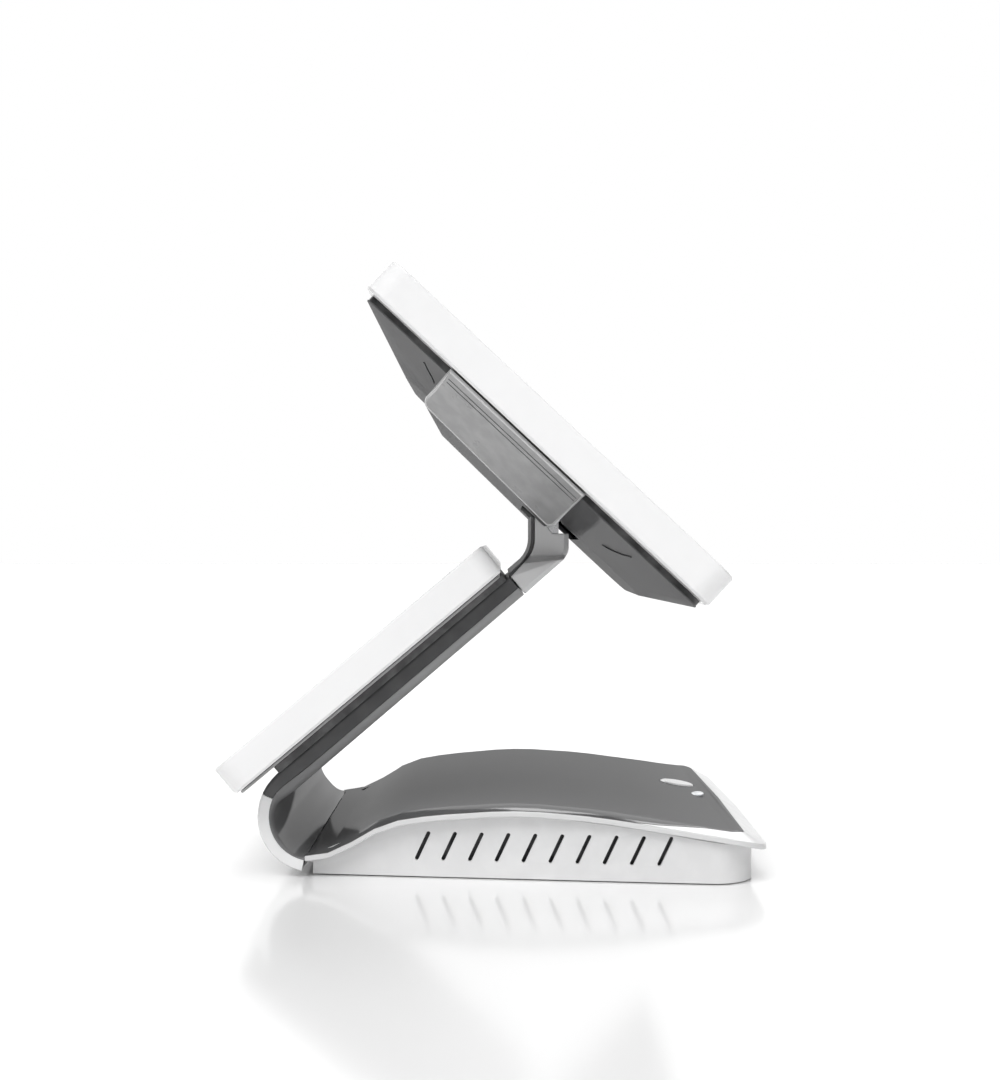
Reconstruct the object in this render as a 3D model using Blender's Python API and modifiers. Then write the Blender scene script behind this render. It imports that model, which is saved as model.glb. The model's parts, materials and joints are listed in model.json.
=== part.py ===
"""Dual-screen point of sale terminal with a tilting operator display.

The model is in metres with +Z up. X runs across the width. The operator stands on the -Y side and the
customer on the +Y side. The origin is the middle of the footprint, on the surface the terminal stands on.
Sizes below are in millimetres and angles in degrees; the shape functions turn them into metres.
"""
import math

import bmesh
import bpy
from mathutils import Matrix, Vector

MM = 0.001
GAP = 0.3                    # clearance between neighbouring pieces
WALL = 2.2                   # wall thickness of the moulded shells

# Base: plan and the line of the rim's underside, from the rear parting line to the front
BASE_REAR = 107.3
BASE_FRONT = -153.5
BASE_HALF_REAR = 124.0
BASE_HALF_FRONT = 147.0
BASE_CORNER = 22.0           # plan radius of the two front corners
BASE_BOW = 2.0               # how far the front edge bows forward between its corners
# Y and height of the rim's underside, front to rear
RIM_LINE = ((-153.5, 16.8), (-136.0, 21.6), (-117.5, 24.6), (-82.5, 30.0), (-47.5, 34.3), (-14.5, 36.2),
            (12.5, 35.0), (45.5, 31.6), (63.5, 27.2), (79.5, 18.2), (95.5, 10.8), (108.1, 9.2))
RIM_LIP = 3.0                # height of the rim's upright edge
RIM_FLANGE = 17.0            # width of the flange under the top cover
SHOULDER_WIDTH = 13.5
SHOULDER_RISE = 2.4
SHOULDER_REAR = 98.0         # the shoulder starts here, and forward of the next it has its whole height
SHOULDER_FULL = 55.0
NOSE_RISE = 1.0              # how much more the shoulder rises at the nose, between the two lines below
NOSE_START = -78.0           # forward of this line the rim widens into a light nose
NOSE_END = -122.0
NOSE_RISE_START = -124.0
NOSE_RISE_END = -146.0

# Tray under the rim
TRAY_REAR = 103.5
TRAY_FRONT = -145.0
TRAY_HALF_REAR = 114.5
TRAY_HALF_FRONT = 143.5
TRAY_CORNER = 24.0
TRAY_BOTTOM = 0.8
TRAY_FLOOR = 3.3
TRAY_GAP = 0.8                # between the wall and the rim that sits on it
VENT_COUNT = 10
VENT_FIRST = 41.0            # Y of the rearmost slot's middle
VENT_PITCH = 14.97
VENT_HEIGHT = 18.0           # Z of the slots' middle
VENT_LENGTH = 17.8
VENT_WIDTH = 2.2
VENT_LEAN = 25.0             # the slots' tops lean towards the operator
DOOR = (170.0, 52.0)         # service door in the tray floor
DOOR_MIDDLE = 57.0
OUTLET_WIDTH = 40.0          # cable way out of the service bay, under the bend
FOOT_RADIUS = 8.0
FOOT_HEIGHT = 1.7
FOOT_PLACES = ((98.0, 88.0), (118.0, -115.0))

# Bend and arm: one strap round an axis across the width, then straight up the arm
BEND = (102.5, 34.3)         # Y, Z of the bend's axis
BEND_OUTER = 31.4
STRAP_HALF = 124.0
ARM_TOP_HALF = 78.0
ARM_NORMAL = 50.0            # direction of the arm's outer face, from +Y towards +Z
ARM_RUN = 170.5              # length of the arm covers beyond the bend
ARM_INNER = 17.7             # distance of the arm's inner face from the bend's axis
ARM_SEAM = 22.8              # where the inner cover meets the outer cover
LINING_OUTER = 24.5
LINING_INNER = 22.4
SHELL_START = -78.0          # angles of the light outer shell round the bend
SHELL_END = 24.0
SPINE = (28.8, 26.0)         # outer and inner distance of the steel spine
SPINE_HALF = 105.0
CABLE = (25.6, 24.8)

# Neck
NECK_HALF = 55.0
NECK_REAR = -21.2            # Y of its rear face
NECK_FRONT = -44.1
NECK_LEDGE = 193.7
NECK_TOP = 204.3
NECK_REAR_RADIUS = 20.0
NECK_FRONT_RADIUS = 9.0
NECK_TURN = 50.0

# Operator display, in its own frame: X across, Y up the screen, Z out of the screen, origin on the hinge
HINGE = (-33.6, 203.1)       # Y, Z of the hinge axis
DISPLAY_TILT = 43.1
DISPLAY_HALF = 188.0
DISPLAY_TOP = 157.0
DISPLAY_BOTTOM = -91.0
DISPLAY_CORNER = 14.0
BAND_REAR = 18.0
BAND_FRONT = 38.5
COVER_FOOT = (167.0, -86.0, 152.0, 9.0)     # rear cover: half width, low, high and corner radius
COVER_EDGE = (171.5, -88.0, 154.0, 10.0)
COVER_FLAT = (72.0, -70.5, 122.0, 20.0)
COVER_BACK = 1.7             # the rear cover's flat back
TUB_CHAMFER = 1.4            # rear edge of both display bands
BELT_TOP = 94.0
BELT_BOTTOM = -3.0
BELT_LEAN = 4.0              # how far the belt's upper side leans out towards its rear
BELT_BACK = (-4.8, -6.9)     # depth of its rear face at the top and at the bottom
BELT_HALF_FRONT = 184.0
BELT_HALF_BACK = 115.0
BELT_CORNER = 4.0            # radius of its rear corners
BELT_SCREW_X = 92.0
BELT_SCREW_ROWS = (("lower", 22.0), ("upper", 72.0))
EAR_X = 63.0                 # the tilt bracket's ears
NOTCH_RADIUS = 19.0          # recess round the hinge in the belt, and the wider one in the cover
COVER_NOTCH_RADIUS = 21.0
NOTCH_HALF = 58.0
PIN_RADIUS = 2.5

# Customer display, in its own frame: X across, Y down the screen, Z out of the screen
CUSTOMER_SIZE = (300.0, 192.5)
CUSTOMER_MIDDLE = 74.2       # run up the arm of its middle
CUSTOMER_BACK = 35.9         # distance of its rear plane from the bend's axis
CUSTOMER_DEPTH = 20.0

# Power button and status light in the front of the base cover
BUTTON = (33.0, -118.5)
BUTTON_RADIUS = 11.0
LIGHT = (-8.0, -127.0)

# Main board and the port bay
BOARD_POSTS = ((-112.0, 12.0), (-112.0, -96.0), (44.0, 10.0), (44.0, -96.0))
BAY_FACE = 28.1              # Y of the sockets' faces, just behind the port bracket
PORTS = (("power_inlet", -70.0, 13.0, 12.0, ((6.4, 6.4, 6.0),)),
         ("lan_jack", -48.0, 16.0, 13.5, ((11.6, 8.0, 6.4),)),
         ("usb_ports", -24.0, 15.0, 15.6, ((12.2, 5.0, 4.2), (12.2, 5.0, 11.4))),
         ("serial_port", 8.0, 31.0, 12.5, ((17.6, 8.6, 6.4),)),
         ("cash_drawer_port", 40.0, 13.0, 12.5, ((9.8, 7.0, 6.4),)))
PORT_DEPTH = 15.0
SIDES = (("left", -1.0), ("right", 1.0))
BOARD_BOTTOM = 10.4
BOARD_TOP = 12.0

for old in list(bpy.data.objects):
    bpy.data.objects.remove(old, do_unlink=True)
PARTS = bpy.data.collections.new("pos_touchscreen_terminal")
CUTTERS = bpy.data.collections.new("cutters")
bpy.context.scene.collection.children.link(PARTS)
bpy.context.scene.collection.children.link(CUTTERS)


def material(name, colour, roughness, metallic=0.0):
    """A Principled material with one colour."""
    made = bpy.data.materials.new(name)
    made.use_nodes = True
    shader = made.node_tree.nodes["Principled BSDF"]
    shader.inputs["Base Color"].default_value = (*colour, 1.0)
    shader.inputs["Roughness"].default_value = roughness
    shader.inputs["Metallic"].default_value = metallic
    return made


WHITE = material("white_plastic", (0.86, 0.86, 0.85), 0.3)
LIGHT_GREY = material("light_grey_plastic", (0.42, 0.42, 0.42), 0.35)
MID_GREY = material("grey_gloss_plastic", (0.13, 0.13, 0.13), 0.25)
DARK_GREY = material("dark_plastic", (0.06, 0.06, 0.06), 0.35)
GLASS = material("black_glass", (0.01, 0.01, 0.012), 0.08)
STEEL = material("steel", (0.5, 0.5, 0.5), 0.35, 1.0)
ALUMINIUM = material("aluminium", (0.7, 0.7, 0.7), 0.4, 1.0)
BOARD = material("circuit_board", (0.02, 0.14, 0.06), 0.5)
BLACK = material("black_plastic", (0.015, 0.015, 0.015), 0.5)
RUBBER = material("rubber", (0.03, 0.03, 0.03), 0.8)
LENS = material("light_lens", (0.8, 0.85, 0.9), 0.2)


def place(name, mesh, look, parent=None, at=(0.0, 0.0, 0.0), cutter=False):
    """Links a mesh as a named piece, or as a hidden cutter."""
    piece = bpy.data.objects.new(name, mesh)
    piece.parent = parent
    piece.location = Vector(at) * MM
    if cutter:
        piece.hide_render = True
        piece.display_type = "WIRE"
        CUTTERS.objects.link(piece)
    else:
        mesh.materials.append(look)
        PARTS.objects.link(piece)
    return piece


def finish_mesh(name, bm):
    """Merges touching points, turns the faces outward and returns the mesh."""
    bmesh.ops.remove_doubles(bm, verts=bm.verts, dist=0.001 * MM)
    bmesh.ops.recalc_face_normals(bm, faces=bm.faces)
    mesh = bpy.data.meshes.new(name)
    bm.to_mesh(mesh)
    bm.free()
    return mesh


def box(name, size, at, look=None, parent=None, corner=0.0, steps=3, along=2, cutter=False):
    """A box whose four edges along one axis (0, 1 or 2) may be rounded."""
    bm = bmesh.new()
    bmesh.ops.create_cube(bm, size=1.0)
    bmesh.ops.scale(bm, vec=Vector(size) * MM, verts=bm.verts)
    if corner:
        edges = [edge for edge in bm.edges
                 if abs(edge.verts[0].co[along] - edge.verts[1].co[along]) > 0.5 * size[along] * MM]
        bmesh.ops.bevel(bm, geom=edges, offset=corner * MM, segments=steps, profile=0.5, affect="EDGES")
    return place(name, finish_mesh(name, bm), look, parent, at, cutter)


def rod(name, radius, x_from, x_to, at, look=None, parent=None, steps=20, cutter=False):
    """A round bar along X, from x_from to x_to, at Y and Z of at."""
    bm = bmesh.new()
    bmesh.ops.create_cone(bm, cap_ends=True, segments=steps, radius1=radius * MM, radius2=radius * MM,
                          depth=abs(x_to - x_from) * MM)
    bmesh.ops.rotate(bm, verts=bm.verts, matrix=Matrix.Rotation(math.radians(90.0), 3, "Y"))
    middle = (0.5 * (x_from + x_to), at[0], at[1])
    return place(name, finish_mesh(name, bm), look, parent, middle, cutter)


def disc(name, radius, low, high, at, look=None, parent=None, tilt=0.0, steps=24, cutter=False):
    """A round bar along its own Z from low to high, at a place, tilted about X."""
    bm = bmesh.new()
    bmesh.ops.create_cone(bm, cap_ends=True, segments=steps, radius1=radius * MM, radius2=radius * MM,
                          depth=(high - low) * MM)
    bmesh.ops.translate(bm, verts=bm.verts, vec=(0.0, 0.0, 0.5 * (high + low) * MM))
    piece = place(name, finish_mesh(name, bm), look, parent, at, cutter)
    piece.rotation_euler = (math.radians(tilt), 0.0, 0.0)
    return piece


def turned(name, profile, at, look, parent=None, tilt=0.0, steps=24):
    """A piece turned about its own Z axis; the profile is radius and height, top to bottom."""
    mesh = bpy.data.meshes.new(name)
    points = [(radius * MM, 0.0, height * MM) for radius, height in profile]
    mesh.from_pydata(points, [(i, i + 1) for i in range(len(points) - 1)], [])
    piece = place(name, mesh, look, parent, at)
    piece.rotation_euler = (math.radians(tilt), 0.0, 0.0)
    screw = piece.modifiers.new("turn", "SCREW")
    screw.steps = steps
    screw.render_steps = steps
    screw.use_merge_vertices = True
    screw.merge_threshold = 0.00005
    screw.use_smooth_shade = True
    return piece


def extruded(name, outline, half_width, look=None, parent=None, at=(0.0, 0.0, 0.0), cutter=False):
    """A flat outline in the Y-Z plane, extruded across the width."""
    bm = bmesh.new()
    face = bm.faces.new([bm.verts.new((-half_width * MM, y * MM, z * MM)) for y, z in outline])
    moved = bmesh.ops.extrude_face_region(bm, geom=[face])["geom"]
    corners = [item for item in moved if isinstance(item, bmesh.types.BMVert)]
    bmesh.ops.translate(bm, verts=corners, vec=(2.0 * half_width * MM, 0.0, 0.0))
    return place(name, finish_mesh(name, bm), look, parent, at, cutter)


def loft(name, rings, look=None, parent=None, at=(0.0, 0.0, 0.0), cutter=False):
    """A closed skin over rings that have the same number of points, capped at both ends."""
    bm = bmesh.new()
    rows = [[bm.verts.new(Vector(point) * MM) for point in ring] for ring in rings]
    for lower, upper in zip(rows, rows[1:]):
        for i in range(len(lower)):
            j = (i + 1) % len(lower)
            bm.faces.new((lower[i], lower[j], upper[j], upper[i]))
    bm.faces.new(rows[0])
    bm.faces.new(rows[-1])
    return place(name, finish_mesh(name, bm), look, parent, at, cutter)


def half_loft(name, sections, look, caps=(True, True), closed=False, cutter=False):
    """A skin over the +X halves of sections, mirrored in X; open sections start and end on the mid-plane."""
    bm = bmesh.new()
    rows = [[bm.verts.new(Vector(point) * MM) for point in section] for section in sections]
    count = len(rows[0])
    for first, second in zip(rows, rows[1:]):
        for i in range(count if closed else count - 1):
            j = (i + 1) % count
            bm.faces.new((first[i], first[j], second[j], second[i]))
    for row, cap in zip((rows[0], rows[-1]), caps):
        if cap:
            bm.faces.new(row)
    bmesh.ops.remove_doubles(bm, verts=bm.verts, dist=0.001 * MM)
    bmesh.ops.dissolve_degenerate(bm, edges=bm.edges, dist=0.001 * MM)
    piece = place(name, finish_mesh(name, bm), look, cutter=cutter)
    mirror = piece.modifiers.new("mirror", "MIRROR")
    mirror.use_axis = (True, False, False)
    mirror.merge_threshold = 0.00001
    return piece


def combine(piece, tool, operation="DIFFERENCE"):
    """Cuts the tool from the piece, or joins it to the piece."""
    boolean = piece.modifiers.new(tool.name, "BOOLEAN")
    boolean.operation = operation
    boolean.object = tool
    boolean.solver = "EXACT"


def empty(name, at, tilt):
    """A frame that other pieces are placed in."""
    frame = bpy.data.objects.new(name, None)
    frame.location = Vector(at) * MM
    frame.rotation_euler = (math.radians(tilt), 0.0, 0.0)
    PARTS.objects.link(frame)
    return frame


def arc(centre, radius, start, end, steps):
    """Points on an arc, the two ends included."""
    angles = [math.radians(start + (end - start) * i / steps) for i in range(steps + 1)]
    return [(centre[0] + radius * math.cos(a), centre[1] + radius * math.sin(a)) for a in angles]


def rounded_ring(half_width, low, high, radius, height, steps=5):
    """A rounded rectangle in X and Y at one height, anticlockwise from its lower right corner."""
    corners = ((half_width - radius, low + radius, -90.0), (half_width - radius, high - radius, 0.0),
               (radius - half_width, high - radius, 90.0), (radius - half_width, low + radius, 180.0))
    ring = []
    for x, y, start in corners:
        ring += [(px, py, height) for px, py in arc((x, y), radius, start, start + 90.0, steps)]
    return ring


def smooth_step(x, start, end):
    """Rises smoothly from 0 at start to 1 at end."""
    t = min(max((x - start) / (end - start), 0.0), 1.0)
    return t * t * (3.0 - 2.0 * t)


def rim_height(y):
    """Height of the rim's underside at Y, on a smooth curve through RIM_LINE."""
    line = RIM_LINE
    y = min(max(y, line[0][0]), line[-1][0])
    i = max(k for k in range(len(line) - 1) if line[k][0] <= y)
    before, first, second, after = line[max(i - 1, 0)], line[i], line[i + 1], line[min(i + 2, len(line) - 1)]
    span = second[0] - first[0]
    start_slope = (second[1] - before[1]) / (second[0] - before[0])
    end_slope = (after[1] - first[1]) / (after[0] - first[0])
    t = (y - first[0]) / span
    return ((2.0 * t ** 3 - 3.0 * t ** 2 + 1.0) * first[1] + (t ** 3 - 2.0 * t ** 2 + t) * span * start_slope
            + (3.0 * t ** 2 - 2.0 * t ** 3) * second[1] + (t ** 3 - t ** 2) * span * end_slope)


def front_outline(half_front, front, corner, bow, slope, steps=6):
    """Plan of a front corner from the straight side to the middle: place and inward direction."""
    lean = math.degrees(math.atan(slope))
    points = []
    for x, y in arc((half_front - corner, front + bow + corner), corner, -lean, -90.0, steps):
        away = Vector((half_front - corner - x, front + bow + corner - y)).normalized()
        points.append((x, y, away.x, away.y))
    across = half_front - corner
    for share in (0.6, 0.3, 0.0):
        points.append((across * share, front + bow * share ** 2, 0.0, 1.0))
    return points


def side_outline(rear, half_rear, half_front, front, corner, steps):
    """Plan of one side, from the rear to where the front corner starts."""
    slope = (half_front - half_rear) / (rear - front - corner)
    inward = Vector((-1.0, -slope)).normalized()
    points = []
    for i in range(steps):
        y = rear + (front + corner + BASE_BOW - rear) * i / steps
        points.append((half_rear + slope * (rear - y), y, inward.x, inward.y))
    return points, slope


def rim_outline():
    """Plan of the rim's outer edge on the +X side, from the rear parting line to the front middle."""
    side, slope = side_outline(BASE_REAR, BASE_HALF_REAR, BASE_HALF_FRONT, BASE_FRONT, BASE_CORNER, 18)
    return side + front_outline(BASE_HALF_FRONT, BASE_FRONT, BASE_CORNER, BASE_BOW, slope)


def inset(station, distance, rise):
    """The point a distance inside an outline station and a rise above the rim's underside."""
    x, y, nx, ny = station
    y_in = y + ny * distance
    return (max(x + nx * distance, 0.0), y_in, rim_height(y_in) + rise)


def shoulder(y, distance):
    """Rise of the base's upper surface above the rim's underside, at a distance inside the edge."""
    along_sides = SHOULDER_RISE * smooth_step(y, SHOULDER_REAR, SHOULDER_FULL)
    at_nose = NOSE_RISE * smooth_step(y, NOSE_RISE_START, NOSE_RISE_END)
    return RIM_LIP + (along_sides + at_nose) * min(distance / SHOULDER_WIDTH, 1.0)


def cover_height(y):
    """Height of the base cover's upper surface inside its shoulder."""
    return rim_height(y) + shoulder(y, SHOULDER_WIDTH)


def nose(y):
    """Width of the rim's upper face: a thin line along the sides and a wide nose in front."""
    return 1.4 + 11.0 * smooth_step(y, NOSE_START, NOSE_END)


def make_base_rim():
    """The light trim between tray and cover: lip, nose and the flange that the cover rests on."""
    sections = []
    for station in rim_outline():
        width = nose(station[1])
        sections.append([inset(station, 0.0, 0.0), inset(station, 0.0, RIM_LIP),
                         inset(station, width, shoulder(station[1], width)),
                         inset(station, width, 1.3), inset(station, RIM_FLANGE, 1.3),
                         inset(station, RIM_FLANGE, 0.0)])
    return half_loft("base_rim", sections, WHITE, caps=(True, False), closed=True)


def make_base_cover():
    """The glossy cover: a shell with a sloping shoulder, open below, cut for the button and the light."""
    sections = []
    for station in rim_outline():
        edge = nose(station[1]) + GAP
        top = shoulder(station[1], SHOULDER_WIDTH)
        outer = inset(station, SHOULDER_WIDTH + 0.6, top)
        inner = inset(station, SHOULDER_WIDTH + 1.6, max(top - WALL, 1.6 + 0.2))
        rows = [(0.0, outer[1], outer[2] + 0.6), outer, inset(station, edge, shoulder(station[1], edge)),
                inset(station, edge, 1.3 + GAP), inset(station, SHOULDER_WIDTH + 1.6, 1.3 + GAP), inner,
                (0.0, inner[1], inner[2] + 0.6)]
        sections.append(rows)
    return half_loft("base_top_cover", sections, MID_GREY, caps=(True, False))


def tray_outline():
    """Plan of the tray's outer wall on the +X side, from the rear middle to the front middle."""
    side, slope = side_outline(TRAY_REAR, TRAY_HALF_REAR, TRAY_HALF_FRONT, TRAY_FRONT, TRAY_CORNER, 18)
    corner = side[0]
    mitre = Vector((corner[2], -1.0)) / abs(corner[2])
    rear = [(share * TRAY_HALF_REAR, TRAY_REAR, 0.0, -1.0) for share in (0.0, 0.4, 0.8)]
    side[0] = (corner[0], corner[1], mitre.x, mitre.y)
    return rear + side + front_outline(TRAY_HALF_FRONT, TRAY_FRONT, TRAY_CORNER, 1.0, slope)


def make_tray():
    """The tray: floor and walls up to the rim, with slanted vent slots, board posts and a door opening."""
    sections = []
    for x, y, nx, ny in tray_outline():
        x_in = max(x + nx * WALL, 0.0)
        y_in = y + ny * WALL
        top, top_in = rim_height(y) - TRAY_GAP, rim_height(y_in) - TRAY_GAP
        sections.append([(0.0, y_in, TRAY_FLOOR), (x_in, y_in, TRAY_FLOOR), (x_in, y_in, top_in),
                         (x, y, top), (x, y, TRAY_BOTTOM), (0.0, y, TRAY_BOTTOM)])
    tray = half_loft("base_tray", sections, WHITE, caps=(False, False))
    for i in range(VENT_COUNT):
        slot = box(f"cut_vent_{i}", (320.0, VENT_WIDTH, VENT_LENGTH),
                   (0.0, VENT_FIRST - VENT_PITCH * i, VENT_HEIGHT), corner=1.0, steps=2, along=0, cutter=True)
        slot.rotation_euler = (math.radians(VENT_LEAN), 0.0, 0.0)
        combine(tray, slot)
    opening = box("cut_door", (DOOR[0], DOOR[1], 8.0), (0.0, DOOR_MIDDLE, 2.0), corner=4.0, cutter=True)
    combine(tray, opening)
    for x, y in BOARD_POSTS:
        combine(tray, disc(f"join_post_{x:.0f}_{y:.0f}", 3.5, 2.0, BOARD_BOTTOM - GAP, (x, y, 0.0), steps=12,
                           cutter=True), "UNION")
    for x, y in FOOT_PLACES:
        for side in (-1.0, 1.0):
            combine(tray, disc(f"cut_foot_{side * x:.0f}_{y:.0f}", FOOT_RADIUS + 0.4, -1.0, FOOT_HEIGHT + GAP,
                               (side * x, y, 0.0), cutter=True))
    combine(tray, box("cut_cable_way", (OUTLET_WIDTH, 26.0, 6.3), (0.0, 94.0, 2.1), cutter=True))
    slot = box("cut_spine_slot", (2.0 * SPINE_HALF + 2.0, 12.0, 4.4), (0.0, TRAY_REAR, 7.6), cutter=True)
    combine(tray, slot)
    return tray


def strap(angle, distance, run=0.0):
    """Y and Z at a distance from the bend's axis, in a direction, and a run along the strap from there."""
    a = math.radians(angle)
    return (BEND[0] + distance * math.cos(a) - run * math.sin(a),
            BEND[1] + distance * math.sin(a) + run * math.cos(a))


def strap_half(run):
    """Half the strap's width: constant round the bend and tapering up the arm."""
    return STRAP_HALF + (ARM_TOP_HALF - STRAP_HALF) * max(run, 0.0) / ARM_RUN


def strap_section(angle, run, points):
    """A half section of the strap: pairs of X and distance, in space."""
    return [(x, *strap(angle, distance, run)) for x, distance in points]


def channel(half, outer, seam):
    """A channel open towards the inside of the bend, with rounded outer corners."""
    return [(0.0, outer), (half - 2.0, outer), (half - 0.6, outer - 0.6), (half, outer - 2.0), (half, seam),
            (half - WALL, seam), (half - WALL, outer - WALL), (0.0, outer - WALL)]


def make_bend_shell():
    """The light outer shell of the bend."""
    steps = 12
    sections = []
    for i in range(steps + 1):
        angle = SHELL_START + (SHELL_END - SHELL_START) * i / steps
        sections.append(strap_section(angle, 0.0, channel(STRAP_HALF, BEND_OUTER, LINING_OUTER + GAP)))
    shell = half_loft("bend_shell", sections, WHITE)
    combine(shell, box("cut_cable_outlet", (OUTLET_WIDTH, 30.0, 12.0), (0.0, 105.0, 1.5), corner=3.0, along=1,
                       cutter=True))
    return shell


def arm_stations(first_angle):
    """Angle and run of the stations that an arm cover has, from an angle in the bend to its top."""
    steps = max(3, round((ARM_NORMAL - first_angle) / 9.0))
    bend = [(first_angle + (ARM_NORMAL - first_angle) * i / steps, 0.0) for i in range(steps + 1)]
    return bend + [(ARM_NORMAL, run) for run in (20.0, 60.0, 110.0, ARM_RUN - 9.0, ARM_RUN)]


def seam_at(angle, run):
    """Distance of the seam between inner and outer cover: it moves inward where the arm straightens."""
    blend = smooth_step(angle, SHELL_END, ARM_NORMAL) * smooth_step(run, -20.0, 20.0)
    return LINING_OUTER + (ARM_SEAM - LINING_OUTER) * blend


def inner_at(angle, run):
    """Distance of the strap's inner face: thin round the bend and deeper along the arm."""
    blend = smooth_step(angle, SHELL_END - 20.0, ARM_NORMAL)
    return LINING_INNER + (ARM_INNER - LINING_INNER) * blend


def make_arm_outer_cover():
    """The dark channel that closes the arm on the customer's side."""
    sections = []
    for angle, run in arm_stations(SHELL_END + 0.6):
        seam = seam_at(angle, run) + GAP
        sections.append(strap_section(angle, run, channel(strap_half(run), BEND_OUTER, seam)))
    return half_loft("arm_outer_cover", sections, DARK_GREY)


def make_arm_inner_cover():
    """The inner cover: it lines the bend and closes the arm's underside, with rounded edges."""
    sections = []
    for angle, run in arm_stations(-75.5):
        half, seam, inner = strap_half(run), seam_at(angle, run), inner_at(angle, run)
        sections.append(strap_section(angle, run, [
            (0.0, seam), (half, seam), (half, inner + 0.45 * (seam - inner)), (half - 1.0, inner + 0.4),
            (half - 2.6, inner), (0.0, inner)]))
    return half_loft("arm_inner_cover", sections, DARK_GREY)


def flat_section(half, outer, inner):
    """A plain half section between an outer and an inner point in Y and Z."""
    return [(0.0, *outer), (half, *outer), (half, *inner), (0.0, *inner)]


def strap_layer(outer, inner, half_of, base_run, top_run):
    """Sections of a flat layer inside the strap: along the base, round the bend and up the arm."""
    stations = [(-90.0, -base_run), (-90.0, 0.0)]
    stations += [(-90.0 + 10.0 * i, 0.0) for i in range(1, 15)]
    stations += [(ARM_NORMAL, top_run)]
    return [flat_section(half_of(run), strap(angle, outer, run), strap(angle, inner, run))
            for angle, run in stations]


def neck_layer(half, front_y, back_y, sections_top, top):
    """Sections that lead a layer from the arm up into the neck."""
    steps = 3
    last_outer, last_inner = sections_top
    rows = []
    for i in range(1, steps + 1):
        share = i / steps
        ease = math.sin(0.5 * math.pi * share)
        rise = 1.0 - math.cos(0.5 * math.pi * share)
        climb = 12.0 * share + 6.0 * rise
        outer = (last_outer[0] + (back_y - last_outer[0]) * ease, last_outer[1] + climb)
        inner = (last_inner[0] + (front_y - last_inner[0]) * ease, last_inner[1] + climb)
        rows.append(flat_section(half, outer, inner))
    rows.append(flat_section(half, (back_y, top), (front_y, top)))
    return rows


def spine_half(run):
    """Half width of the steel spine."""
    return SPINE_HALF - (SPINE_HALF - 44.0) * smooth_step(run, 0.0, 150.0)


def make_spine():
    """The bent steel spine from the base floor to the neck, with a window over the service bay."""
    sections = strap_layer(SPINE[0], SPINE[1], spine_half, 150.0, 172.0)
    ends = (strap(ARM_NORMAL, SPINE[0], 172.0), strap(ARM_NORMAL, SPINE[1], 172.0))
    sections += neck_layer(44.0, -31.0, -28.0, ends, 190.0)
    spine = half_loft("arm_spine", sections, STEEL)
    window = box("cut_bay_window", (DOOR[0] + 4.0, DOOR[1] + 4.0, 12.0), (0.0, DOOR_MIDDLE, 7.0), cutter=True)
    combine(spine, window)
    for x, y in BOARD_POSTS:
        if abs(x) < SPINE_HALF:
            combine(spine, disc(f"cut_post_hole_{y:.0f}", 5.0, 2.0, 12.0, (x, y, 0.0), cutter=True))
    return spine


def make_cable():
    """The flat cable held inside the arm, from the main board to the neck."""
    sections = strap_layer(CABLE[0], CABLE[1], lambda run: 15.0, 14.0, 172.0)
    ends = (strap(ARM_NORMAL, CABLE[0], 172.0), strap(ARM_NORMAL, CABLE[1], 172.0))
    sections += neck_layer(15.0, -33.4, -32.6, ends, 188.0)
    return half_loft("arm_cable", sections, BLACK)


def neck_curves():
    """Rear and front side outline of the neck, bottom to top."""
    rear_centre = (NECK_REAR + NECK_REAR_RADIUS, 191.0)
    front_centre = (NECK_FRONT + NECK_FRONT_RADIUS, 185.4)
    rear = arc(rear_centre, NECK_REAR_RADIUS, 180.0 + NECK_TURN, 180.0, 6)
    front = arc(front_centre, NECK_FRONT_RADIUS, 180.0 + NECK_TURN, 180.0, 6)
    rear = [strap(ARM_NORMAL, 33.2, ARM_RUN + 0.8)] + rear
    front = [strap(ARM_NORMAL, ARM_INNER, ARM_RUN + 0.8)] + front
    return rear, front


def neck_half(i):
    """Half width of the neck at one of its stations: it spreads where it meets the arm."""
    return NECK_HALF + (ARM_TOP_HALF - 3.0 - NECK_HALF) * (1.0 - smooth_step(i, 0.0, 3.0))


def neck_ring(half, rear, front, bevel=3.0):
    """A half ring across the neck, bevelled at its front edge."""
    across = Vector(front) - Vector(rear)
    unit = across.normalized()
    side = Vector(front) - unit * bevel
    return [(0.0, *rear), (half, *rear), (half, *side), (half - bevel, *front), (0.0, *front)]


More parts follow.
